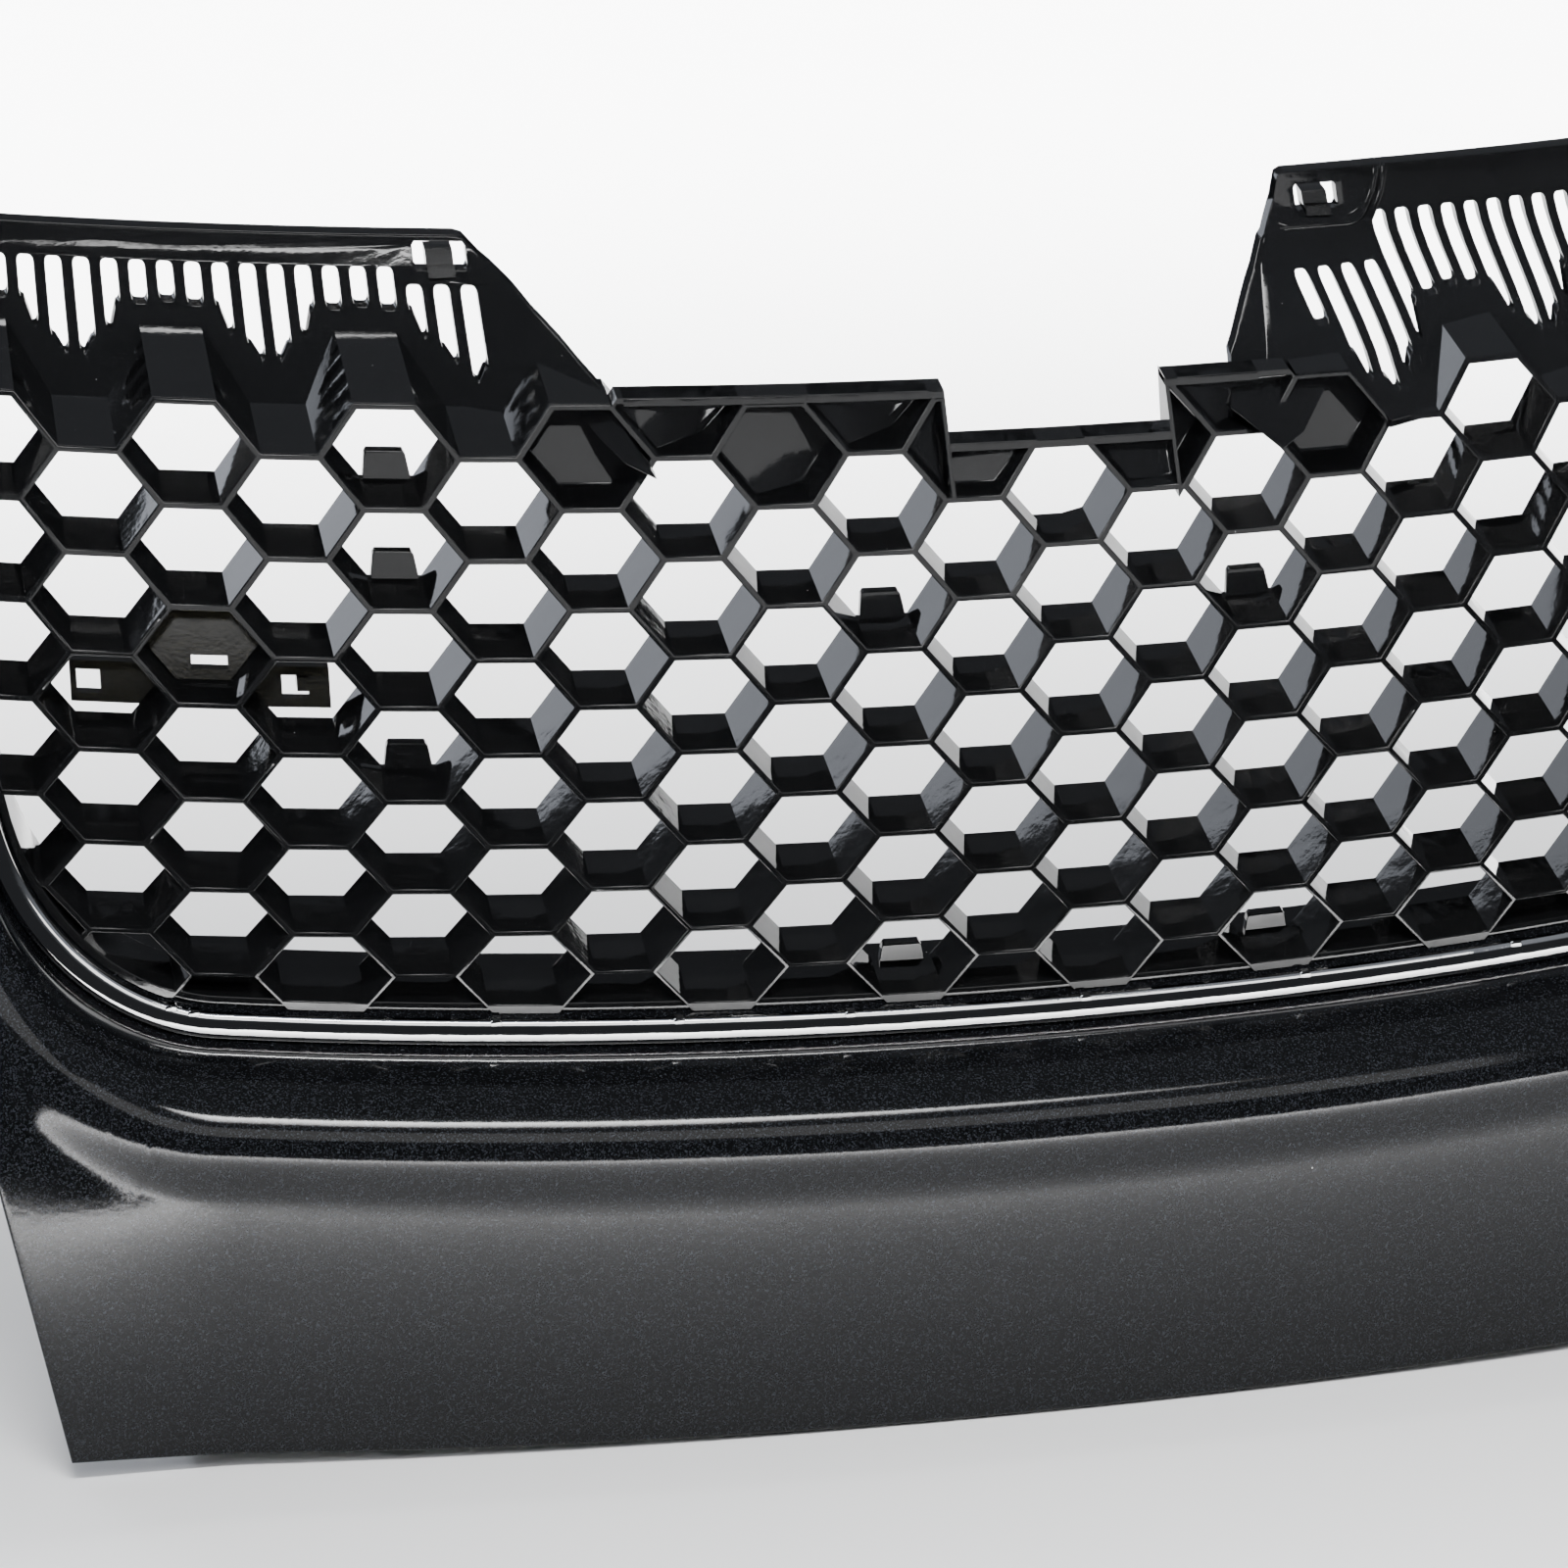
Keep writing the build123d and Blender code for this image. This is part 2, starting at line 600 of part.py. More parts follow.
# ---- badge carrier in its blank cell
bx, bz, bar_wide, bar_high = badge_bar
plug = outline(cell_polygon(*badge_cell, level=level_wall + 1.0, slant=slant_wall + 1.0))
plug_window = outline([(bx + 2.5 + dx, -badge_cell[1] * cell_half - 5.3 + dz)
                       for dx, dz in ((-5, -1.5), (5, -1.5), (5, 1.5), (-5, 1.5))])
carrier = meet(along_draw((plug - plug_window).faces()), slab(front, badge_set_back, 2.5))
cell_floor = -badge_cell[1] * cell_half - cell_half + 1.6
neck = outline([(bx - 7, cell_floor), (bx - 3.2, cell_floor), (bx - 3.2, cell_floor + 3), (bx - 7, cell_floor + 3)])
carrier += meet(along_draw([neck]), slab(front, badge_set_back + 1, cell_depth - badge_set_back + 0.7))
bar_low, bar_top = bz - bar_high / 2, bz + bar_high / 2
bar = outline([(bx - bar_wide / 2, bar_low), (bx + bar_wide / 2, bar_low), (bx + bar_wide / 2, bar_top),
               (bx + 8, bar_top), (bx + 8, bz - 0.5), (bx - 3, bz - 0.5), (bx - 3, cell_floor + 3),
               (bx - 10, cell_floor + 3), (bx - 10, bar_top), (bx - bar_wide / 2, bar_top)])
bar_windows = [outline([(x - w / 2, bz - 2.6), (x + w / 2, bz - 2.6), (x + w / 2, bz + 2.6), (x - w / 2, bz + 2.6)])
               for x, w in ((bx - 30.5, 6.5), (bx + 26.0, 7.4))]
carrier += meet(along_draw(bar.cut(*bar_windows).faces()), slab(front, cell_depth + 0.4, 2.5))
hook = outline([(bx + 26.5, bz - 1.0), (bx + 30.2, bz - 1.0), (bx + 30.2, bz + 2.0), (bx + 26.5, bz + 2.0)])
carrier += meet(along_draw([hook]), slab(front, cell_depth + 0.6, 5.0))
keep("badge_carrier", turned(join(carrier)))

# ---- side brackets, their screws and plate nuts
outer_x = bracket_x + bracket_width
for side, sign in {"left": -1, "right": 1}.items():
    low, high = bracket_low, bracket_high
    inner_x = bracket_x - bracket_thick / 2
    front_plate = Face(Wire.make_polygon([(sign * x, bracket_front, z) for x, z in (
        (inner_x, low), (outer_x - 10, low), (outer_x - 1, high), (inner_x, high))]))
    foot = Face(Wire.make_polygon([(sign * x, bracket_rear - bracket_thick, z) for x, z in (
        (inner_x, low), (outer_x, low), (outer_x, high), (inner_x, high))]))
    web = Face(Wire.make_polygon([(sign * x, bracket_front, z) for x, z in (
        (inner_x, low), (inner_x + bracket_thick, low), (inner_x + bracket_thick, high), (inner_x, high))]))
    bracket = join([Solid.extrude(front_plate, Vector(0, bracket_thick, 0)),
                    Solid.extrude(foot, Vector(0, bracket_thick, 0)),
                    Solid.extrude(web, Vector(0, bracket_rear - bracket_front, 0))])
    own = [(x, z) for s, x, z in tower_places if s == sign]
    middle = (low + high) / 2
    bolt_x = sign * (inner_x + bracket_thick + outer_x) / 2
    bolts = [(bolt_x, middle + i * bracket_hole_pitch) for i in (-0.5, 0.5)]
    holes = [level(x, bracket_front - 1, z, screw_radius + screw_gap, 6) for x, z in own]
    holes += [level(x, bracket_rear - 6, z, bracket_hole, 10) for x, z in bolts]
    keep("side_bracket_" + side, cut(bracket, holes))
    seat = bracket_front + bracket_thick
    screws = []
    for x, z in own:
        body = level(x, seat - bracket_screw, z, screw_radius, bracket_screw + 0.5)
        body = body.fuse(level(x, seat, z, screw_head_radius, screw_head_height))
        screws.append(body - level(x, seat + drive_floor, z, drive_radius, 3))
    keep("bracket_screws_" + side, screws)
    nuts = []
    for x, z in bolts:
        block = Solid.make_box(nut_wide, nut_thick, nut_wide).moved(
            Location((x - nut_wide / 2, bracket_rear - bracket_thick - nut_thick, z - nut_wide / 2)))
        nuts.append(block - level(x, bracket_rear - 12, z, bracket_hole, 12))
    keep("plate_nuts_" + side, nuts)

# ---- expansion nuts in the lower flange
nuts = []
for x in rivet_places:
    body = upright(x, rivet_line, flange_level - 6, rivet_hole - 0.05, 6.2)
    body = body.fuse(upright(x, rivet_line, flange_level, rivet_hole + 2.6, 1.6))
    nuts.append(body - upright(x, rivet_line, flange_level - 10, rivet_bore, 20))
keep("lower_flange_nuts", nuts)

# ---- the row's own frame: middle of the box, standing on its lowest point
everything = Compound([s for solids in nodes.values() for s in solids])
box = everything.bounding_box()
shift = Location((0, -(box.min.Y + box.max.Y) / 2, -box.min.Z))
for name, solids in nodes.items():
    export_step(Compound([s.moved(shift) for s in solids]), "parts/" + name + ".step")
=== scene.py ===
import bpy, bmesh
import json
import numpy as np
from math import asin, cos, pi, radians, sin
from mathutils import Matrix, Vector


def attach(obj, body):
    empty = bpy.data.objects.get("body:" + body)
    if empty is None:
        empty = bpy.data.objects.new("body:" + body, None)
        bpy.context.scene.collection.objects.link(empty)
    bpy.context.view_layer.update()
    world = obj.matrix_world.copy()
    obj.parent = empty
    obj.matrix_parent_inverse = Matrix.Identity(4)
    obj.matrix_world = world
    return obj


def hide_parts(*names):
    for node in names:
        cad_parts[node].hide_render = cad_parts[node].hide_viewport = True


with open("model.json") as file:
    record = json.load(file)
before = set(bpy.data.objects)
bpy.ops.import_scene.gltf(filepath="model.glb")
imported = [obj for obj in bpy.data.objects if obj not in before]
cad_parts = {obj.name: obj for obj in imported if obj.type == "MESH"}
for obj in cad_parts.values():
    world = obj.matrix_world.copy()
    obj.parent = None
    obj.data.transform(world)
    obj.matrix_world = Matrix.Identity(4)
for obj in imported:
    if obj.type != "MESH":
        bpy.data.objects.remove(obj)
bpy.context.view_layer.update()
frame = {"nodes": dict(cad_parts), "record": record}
print("frame loaded:", len(frame["nodes"]), "nodes")

# Sizes are millimetres in the moulding's own axes: x across, z up its face, y into it along the draw.
lattice = dict(pitch=27.5, height=20.8, side=16.6, levelWall=1.3, slantWall=1.6, depth=17.0,
               draft=0.65, edgeRound=0.34, rearRound=0.7, blankDepth=11.0, rowsDown=9, lastColumn=10,
               firstEarColumn=4, ledge=33.0, ledgeDepth=4.5, notch=(-5.3, 61.0, 22.0), border=2.2)
opening = dict(bottom=-104.5, bottomRadius=7700.0, cornerX=222.0, cornerRadius=59.0, sideAngle=76.0, top=52.0)
drawTilt = radians(18.0)     # the draw direction rises this much towards the rear
halfCell = lattice["height"] / 2

# The bracket bolts' mount ties the moulding's axes to the row's.
boltMount = next(m for m in frame["record"]["mounts"] if m["name"] == "left_bracket_bolts")
rowShift = np.array([0.0, boltMount["pos_m"][1] * 1000 - 96.0, boltMount["pos_m"][2] * 1000 - 2.0])


def toRow(points):
    # turn about x by the draw's tilt, shift, and go to metres
    p = np.asarray(points, float).reshape(-1, 3)
    y = p[:, 1] * cos(drawTilt) - p[:, 2] * sin(drawTilt)
    z = p[:, 1] * sin(drawTilt) + p[:, 2] * cos(drawTilt)
    return (np.stack([p[:, 0], y, z], 1) + rowShift) / 1000


def front(x, z):
    # front surface of the mesh: y as a polynomial of x and z
    return 0.3281e-3 * x**2 + 0.0444e-8 * x**4 + 0.9432 * z + 2.4097e-3 * z**2 + 0.3038e-6 * x**2 * z


def deckHeight(x, z):
    # slotted deck behind the top cells: starts 42 behind them and rises with a slowly falling slope;
    # its lower part comes forward towards the middle, over a short run on the left, a long one on the right
    u = z - 3 * halfCell
    near = np.clip((136.0 + x) / 34.0, 0, 1)
    near = np.where(np.asarray(x) < 0, near * near * (3 - 2 * near), np.clip((235.0 - x) / 125.0, 0, 1))
    low = np.clip((44.0 - z) / 14.0, 0, 1)
    return front(x, 3 * halfCell) + 42.0 + 2.15 * u - 0.028 * u**2 - 36.0 * near * low * low * (3 - 2 * low)


cornerStart = asin(opening["cornerX"] / opening["bottomRadius"])
cornerEnd = radians(opening["sideAngle"])
cornerZ = opening["bottom"] + opening["bottomRadius"] * (1 - cos(cornerStart))
sideX = opening["cornerX"] + opening["cornerRadius"] * (sin(cornerEnd) - sin(cornerStart))
sideZ = cornerZ + opening["cornerRadius"] * (cos(cornerStart) - cos(cornerEnd))
sideLength = (opening["top"] - sideZ) / sin(cornerEnd)


def uLine(t):
    # the opening's line: |t| 0..1 along the bottom arc, 1..2 round the corner, 2..3 up the side;
    # gives the point and the outward normal
    t = np.asarray(t, float)
    a = np.abs(t)
    turning = cornerStart + (cornerEnd - cornerStart) * (a - 1)
    angle = np.where(a <= 1, cornerStart * a, np.where(a <= 2, turning, cornerEnd))
    s, c = np.sin(angle), np.cos(angle)
    x = np.where(a <= 1, opening["bottomRadius"] * s,
                 np.where(a <= 2, opening["cornerX"] + opening["cornerRadius"] * (s - sin(cornerStart)),
                          sideX + sideLength * (a - 2) * cos(cornerEnd)))
    z = np.where(a <= 1, opening["bottom"] + opening["bottomRadius"] * (1 - c),
                 np.where(a <= 2, cornerZ + opening["cornerRadius"] * (cos(cornerStart) - c),
                          sideZ + sideLength * (a - 2) * sin(cornerEnd)))
    side = np.where(t >= 0, 1.0, -1.0)
    return side * x, z, side * s, -c


# meshes
weld = 0.02     # points closer than this become one


def meshPiece(name, points, faces, material, sharpAngle, node=None):
    # a piece from points in the moulding's own axes; faces that lie on each other go
    mesh = bpy.data.meshes.new(name)
    mesh.from_pydata(toRow(points), [], [list(map(int, f)) for f in faces])
    bm = bmesh.new()
    bm.from_mesh(mesh)
    bmesh.ops.remove_doubles(bm, verts=bm.verts, dist=weld / 1000)
    seen = {}
    for f in bm.faces:
        seen.setdefault(frozenset(v.index for v in f.verts), []).append(f)
    doubles = [f for group in seen.values() if len(group) > 1 for f in group]
    bmesh.ops.delete(bm, geom=doubles, context="FACES")
    bmesh.ops.recalc_face_normals(bm, faces=bm.faces)
    bm.to_mesh(mesh)
    bm.free()
    mesh.polygons.foreach_set("use_smooth", np.ones(len(mesh.polygons), bool))
    mesh.set_sharp_from_angle(angle=radians(sharpAngle))
    piece = bpy.data.objects.new(name, mesh)
    bpy.context.scene.collection.objects.link(piece)
    mesh.materials.append(material)
    weighted = piece.modifiers.new("weighted", "WEIGHTED_NORMAL")
    weighted.keep_sharp = True
    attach(piece, "root")
    if node:
        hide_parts(node)
    print("  ", name, len(mesh.polygons), "faces")


def gridFaces(rows, columns, closeRows=False, closeColumns=False):
    # quads of a rows x columns grid of points, either way joined up at its end
    i = np.arange(rows if closeRows else rows - 1)
    j = np.arange(columns if closeColumns else columns - 1)
    i, j = np.meshgrid(i, j, indexing="ij")
    i2, j2 = (i + 1) % rows, (j + 1) % columns
    quads = np.stack([i * columns + j, i * columns + j2, i2 * columns + j2, i2 * columns + j], -1)
    return quads.reshape(-1, 4).tolist()


class Shell:
    # gathers points and faces of several surfaces for one piece
    def __init__(self):
        self.points, self.faces, self.count = [], [], 0

    def add(self, points, faces):
        points = np.asarray(points, float).reshape(-1, 3)
        self.faces += [[v + self.count for v in f] for f in faces]
        self.points.append(points)
        self.count += len(points)

    def grid(self, points, closeRows=False, closeColumns=False, capRows=False):
        # points: rows x columns x 3
        rows, columns = points.shape[:2]
        faces = gridFaces(rows, columns, closeRows, closeColumns)
        if capRows:
            faces += [list(range(columns))[::-1], list(range((rows - 1) * columns, rows * columns))]
        self.add(points, faces)

    def turn(self, centre, outline, sides=24):
        # outline of (radius, distance along the axis) pairs turned about the draw through centre
        angle = np.arange(sides) * 2 * pi / sides
        r, h = np.array(outline, float).T
        ring = np.stack([np.cos(angle)[None] * r[:, None], np.broadcast_to(h[:, None], (len(r), sides)),
                         np.sin(angle)[None] * r[:, None]], -1)
        self.grid(ring + np.asarray(centre, float), closeColumns=True, closeRows=True)

    def all(self):
        return np.concatenate(self.points), self.faces


def crossing(a, b, outA, outB):
    # where two lines (normal, distance) moved inwards by outA and outB cross
    (ax, az, ad, *_), (bx, bz, bd, *_) = a, b
    ad, bd = ad - outA, bd - outB
    det = ax * bz - az * bx
    return (ad * bz - az * bd) / det, (ax * bd - ad * bx) / det


def cellShape(lines):
    # clips a large square by each line moved in by its wall; gives the corners and each edge's line
    big = 900.0
    centre = np.mean([[l[4], l[5]] for l in lines[:6]], 0)
    poly = [(centre[0] + x, centre[1] + z) for x, z in ((-big, -big), (big, -big), (big, big), (-big, big))]
    label = [None] * 4
    for line in lines:
        nx, nz, d, wall = line[:4]
        side = [nx * x + nz * z - (d - wall) for x, z in poly]
        if max(side) <= 1e-6:
            continue
        nextPoly, nextLabel = [], []
        for i in range(len(poly)):
            j = (i + 1) % len(poly)
            if side[i] <= 0:
                nextPoly.append(poly[i])
                nextLabel.append(label[i])
            if (side[i] <= 0) != (side[j] <= 0):
                f = side[i] / (side[i] - side[j])
                nextPoly.append(tuple(poly[i][k] + f * (poly[j][k] - poly[i][k]) for k in (0, 1)))
                nextLabel.append(line if side[i] <= 0 else label[i])
        poly, label = nextPoly, nextLabel
        if len(poly) < 3:
            return [], []
    return poly, label


def hexLines(column, row):
    # the six lines of a cell: normal, distance, half wall, and the cell's centre
    x, z = column * lattice["pitch"], -row * halfCell
    run = lattice["pitch"] - lattice["side"]
    size = (run**2 + halfCell**2) ** 0.5
    nx, nz = halfCell / size, run / size
    tip = lattice["side"] / 2 + run
    level, slant = lattice["levelWall"] / 2, lattice["slantWall"] / 2
    lines = []
    for sx, sz in ((1, 1), (-1, 1), (-1, -1), (1, -1)):
        lines.append((sx * nx, sz * nz, sx * nx * x + sz * nz * z + nx * tip, slant, x, z))
    for sz in (1, -1):
        lines.append((0.0, float(sz), sz * z + halfCell, level, x, z))
    return lines


def runs(*spans):
    # even steps over several spans (start, end, count), each end left to the next span
    parts = [np.linspace(a, b, count)[:-1] for a, b, count in spans[:-1]]
    return np.concatenate(parts + [np.linspace(*spans[-1])])


borderT = runs((-3, -2, 12), (-2, -1, 17), (-1, 1, 33), (1, 2, 17), (2, 3, 12))
bx, bz, bnx, bnz = uLine(borderT)
borderLines = [(nx, nz, nx * x + nz * z, lattice["border"], x, z) for x, z, nx, nz in zip(bx, bz, bnx, bnz)]


def cellRings(shell, lines, blank, depth, ledgeAt=None):
    # rings of the cell's tube, each (inward offset from the wall's middle, depth): front land, rounded edge,
    # drafted wall, rounded rear edge; a blank cell ends in its floor
    poly, label = cellShape(lines)
    if len(poly) < 3:
        return
    area = 0.5 * abs(sum(poly[i - 1][0] * poly[i][1] - poly[i][0] * poly[i - 1][1] for i in range(len(poly))))
    long = [i for i in range(len(poly)) if np.hypot(*np.subtract(poly[i], poly[i - 1])) > 0.6]
    label = [label[i - 1] for i in long]
    if area < 8 or len(long) < 3 or None in label:
        return
    r, r2 = lattice["edgeRound"], lattice["rearRound"]
    steps = [(0.0, 0.0, 0), (-r, 0.0, 1)]
    steps += [(-r + r * sin(a), r - r * cos(a), 1) for a in np.radians([22.5, 45, 67.5, 90])]
    if blank:
        foot = ((0.0, 0.6), (0.2, 0.15), (0.6, 0.0))
        steps += [(lattice["draft"] + inwards, depth - ahead, 1) for inwards, ahead in foot]
    else:
        wide = lattice["draft"]
        rear = np.radians([90, 60, 30, 0])
        steps += [(wide - r2 * (1 - sin(a)), depth - r2 + r2 * cos(a), 1) for a in rear]
        steps += [(0.0, depth, 0)]
    count = len(label)
    rings = np.zeros((len(steps), count, 3))
    for k, (offset, y, share) in enumerate(steps):
        for i in range(count):
            a, b = label[i - 1], label[i]
            x, z = crossing(a, b, offset + share * a[3], offset + share * b[3])
            if ledgeAt is not None:
                if blank:
                    limit = max(0.9, lattice["ledgeDepth"] + 0.6 * (ledgeAt - z))
                    y = min(y, limit - (depth - y if y > 2 else 0) * 0.5)
                else:
                    y = min(y, 1.46 * (ledgeAt + 4.8 - z))
            rings[k, i] = (x, front(x, z) + y, z)
    if blank:
        faces = gridFaces(len(steps), count, closeColumns=True)
        last = (len(steps) - 1) * count
        middle = rings[-1].mean(0)
        shell.add(np.concatenate([rings.reshape(-1, 3), middle[None]]),
                  faces + [[last + i, last + (i + 1) % count, len(steps) * count] for i in range(count)])
        # the blank's back and the walls behind it
        back = np.zeros((4, count, 3))
        behind = [(0.0, 0.0, 0), (0.0, depth + 6.0, 0), (0.2, depth + 6.0, 1), (0.3, depth + 2.5, 1)]
        for k, (offset, y, share) in enumerate(behind):
            for i in range(count):
                a, b = label[i - 1], label[i]
                x, z = crossing(a, b, offset + share * a[3], offset + share * b[3])
                if ledgeAt is not None:
                    y = min(y, lattice["ledgeDepth"] + 2.5 + 0.6 * (ledgeAt - z))
                back[k, i] = (x, front(x, z) + y, z)
        faces = gridFaces(4, count, closeColumns=True) + [[3 * count + i for i in range(count)]]
        shell.add(back.reshape(-1, 3), faces)
    else:
        shell.grid(rings, closeRows=True, closeColumns=True)


# outlines filled as plates
def plateMesh(outlines, thick, bevel, cutX, cutZ):
    # fills closed outlines (holes inside), gives them a thickness and rounded edges, and cuts the result by
    # lines of constant first and second coordinate; returns flat points (u, v, w) with w along the thickness
    curve = bpy.data.curves.new("plate", "CURVE")
    curve.dimensions, curve.fill_mode = "2D", "BOTH"
    curve.extrude, curve.bevel_depth = thick / 2 - bevel, bevel
    curve.bevel_resolution, curve.offset = 1, -bevel
    for outline in outlines:
        spline = curve.splines.new("POLY")
        spline.points.add(len(outline) - 1)
        flat = np.column_stack([outline, np.zeros(len(outline)), np.ones(len(outline))])
        spline.points.foreach_set("co", flat.ravel())
        spline.use_cyclic_u = True
    holder = bpy.data.objects.new("plate", curve)
    bpy.context.scene.collection.objects.link(holder)
    bpy.context.view_layer.update()
    mesh = bpy.data.meshes.new_from_object(holder.evaluated_get(bpy.context.evaluated_depsgraph_get()))
    bpy.data.objects.remove(holder)
    bm = bmesh.new()
    bm.from_mesh(mesh)
    bmesh.ops.remove_doubles(bm, verts=bm.verts, dist=1e-3)
    for place, direction in [((x, 0, 0), (1, 0, 0)) for x in cutX] + [((0, z, 0), (0, 1, 0)) for z in cutZ]:
        everything = bm.verts[:] + bm.edges[:] + bm.faces[:]
        bmesh.ops.bisect_plane(bm, geom=everything, dist=1e-4, plane_co=place, plane_no=direction)
    bm.verts.index_update()
    points = np.array([v.co for v in bm.verts], float)
    faces = [[v.index for v in f.verts] for f in bm.faces]
    bm.free()
    bpy.data.meshes.remove(mesh)
    return points, faces


def roundedSlot(x, low, high, wide, slantLow=0.0):
    # upright slot with rounded corners; slantLow tips its lower end
    r, h = 1.3, wide / 2
    arc = np.linspace(0, pi / 2, 4)
    top = [(x + h - r + r * cos(a), high - r + r * sin(a)) for a in arc]
    top += [(x - h + r - r * sin(a), high - r + r * cos(a)) for a in arc]
    left, right = max(slantLow, 0.0), max(-slantLow, 0.0)
    bottom = [(x - h + r - r * cos(a), low + left + r - r * sin(a)) for a in arc]
    bottom += [(x + h - r + r * sin(a), low + right + r - r * cos(a)) for a in arc]
    return top + bottom


def box2d(x, z, wide, high, corner=0.8):
    # rectangle with cut corners
    a, b = wide / 2, high / 2
    c, d = a - corner, b - corner
    around = ((c, b), (-c, b), (-a, d), (-a, -d), (-c, -b), (c, -b), (a, -d), (a, d))
    return [(x + u, z + v) for u, v in around]


# materials
class Val:
    # a socket that can be reckoned with
    def __init__(self, finish, socket):
        self.finish, self.socket = finish, socket

    def math(self, operation, a, b):
        return self.finish.node("ShaderNodeMath", {"operation": operation}, {0: a, 1: b})

    def __add__(self, other):
        return self.math("ADD", self, other)

    def __radd__(self, other):
        return self.math("ADD", other, self)

    def __sub__(self, other):
        return self.math("SUBTRACT", self, other)

    def __rsub__(self, other):
        return self.math("SUBTRACT", other, self)

    def __mul__(self, other):
        return self.math("MULTIPLY", self, other)

    def __rmul__(self, other):
        return self.math("MULTIPLY", other, self)

    def __gt__(self, other):
        return self.math("GREATER_THAN", self, other)

    def __lt__(self, other):
        return self.math("LESS_THAN", self, other)

    def power(self, other):
        return self.math("POWER", self, other)

    def clamp(self, low, high):
        return self.finish.node("ShaderNodeClamp", {}, {"Value": self, "Min": low, "Max": high})


class Finish:
    # one material: its node tree, the principled shader and the object's coordinates
    def __init__(self, name, **constants):
        self.material = bpy.data.materials.new(name)
        self.material.use_nodes = True
        self.tree = self.material.node_tree
        self.shader = next(n for n in self.tree.nodes if n.type == "BSDF_PRINCIPLED")
        for key, value in constants.items():
            self.shader.inputs[key.replace("_", " ")].default_value = value
        self.place = self.node("ShaderNodeTexCoord", {}, {}, "Object")

    def node(self, kind, settings, inputs, output=0):
        made = self.tree.nodes.new(kind)
        for key, value in settings.items():
            setattr(made, key, value)
        for key, value in inputs.items():
            if isinstance(value, Val):
                self.tree.links.new(value.socket, made.inputs[key])
            else:
                made.inputs[key].default_value = value
        return Val(self, made.outputs[output])

    def noise(self, scale, detail=3.0, roughness=0.5, place=None):
        inputs = {"Vector": place or self.place, "Scale": scale, "Detail": detail, "Roughness": roughness}
        return self.node("ShaderNodeTexNoise", {}, inputs, "Fac")

    def cells(self, scale, output="Distance"):
        return self.node("ShaderNodeTexVoronoi", {}, {"Vector": self.place, "Scale": scale}, output)

    def blend(self, factor, a, b):
        return self.node("ShaderNodeMix", {"data_type": "RGBA"}, {0: factor, 6: a, 7: b}, 2)

    def bump(self, *layers):
        # layers of (height, strength, distance)
        normal = None
        for height, strength, distance in layers:
            inputs = {"Height": height, "Strength": strength, "Distance": distance}
            if normal:
                inputs["Normal"] = normal
            normal = self.node("ShaderNodeBump", {}, inputs)
        self.feed("Normal", normal)

    def feed(self, name, value):
        self.tree.links.new(value.socket, self.shader.inputs[name])

    def specks(self, scale, share, size):
        # small grains of dust: few of the cells of a Voronoi net carry one
        cellColor = self.cells(scale, "Color")
        pick = self.node("ShaderNodeSeparateColor", {}, {0: cellColor}, 0) > 1 - share
        return pick * (self.cells(scale) < size)


def gray(value, tint=(1, 1, 1)):
    return (value * tint[0], value * tint[1], value * tint[2], 1)


def mouldedBlack():
    f = Finish("gloss black moulding", IOR=1.34)
    smudge = f.noise(38, 4.0, 0.6)
    haze = f.noise(9, 2.0)
    dust = f.specks(260, 0.03, 0.045)
    f.feed("Base Color", f.blend(dust, f.blend(haze, gray(0.0035), gray(0.0065, (0.95, 1, 1.1))), gray(0.35)))
    f.feed("Roughness", (0.045 + 0.07 * (smudge - 0.45).clamp(0, 1) + dust * 0.5).clamp(0.03, 0.8))
    f.bump((f.noise(420, 2.0), 0.035, 0.0004), (f.noise(45, 2.0), 0.22, 0.0006))
    return f.material


def paintedBlack():
    f = Finish("black paint", IOR=1.3)
    flake = f.node("ShaderNodeSeparateColor", {}, {0: f.cells(2600, "Color")}, 0)
    cloud = f.noise(14, 3.0)
    dust = f.specks(150, 0.02, 0.035)
    sparkle = flake.power(6.0)
    body = f.blend(sparkle, gray(0.0035, (0.95, 1, 1.15)), gray(0.03, (0.9, 1, 1.2)))
    f.feed("Base Color", f.blend(dust, body, gray(0.5)))
    f.feed("Metallic", 0.25 * sparkle)
    f.feed("Roughness", (0.05 + 0.05 * cloud + dust * 0.4).clamp(0.03, 0.9))
    f.bump((f.noise(520, 2.0), 0.03, 0.0003), (f.noise(30, 2.0), 0.12, 0.0006))
    return f.material


def brightStrip():
    f = Finish("bright strip", Metallic=1.0)
    haze = f.noise(60, 4.0, 0.6)
    scratch = f.node("ShaderNodeMapping", {}, {"Vector": f.place, "Scale": (90, 1400, 1400)})
    fine = f.noise(1.0, 2.0, 0.5, scratch)
    f.feed("Base Color", f.blend(haze, gray(0.62, (1, 1, 0.99)), gray(0.78)))
    rough = 0.035 + 0.09 * (haze - 0.45).clamp(0, 1) + 0.05 * (fine - 0.55).clamp(0, 1)
    f.feed("Roughness", rough.clamp(0.02, 0.5))
    f.bump((f.noise(55, 2.0), 0.25, 0.0007), (f.noise(900, 2.0), 0.03, 0.0002))
    return f.material


def satinPlastic(name, dark, light, rough, grain=1600, tint=(1, 1, 1)):
    f = Finish(name, IOR=1.5)
    mottled = f.noise(70, 4.0, 0.6)
    f.feed("Base Color", f.blend(mottled, gray(dark, tint), gray(light, tint)))
    f.feed("Roughness", (rough + 0.18 * (mottled - 0.4)).clamp(0.08, 0.95))
    f.bump((f.noise(grain, 3.0), 0.12, 0.0003), (f.noise(80, 2.0), 0.1, 0.0006))
    return f.material


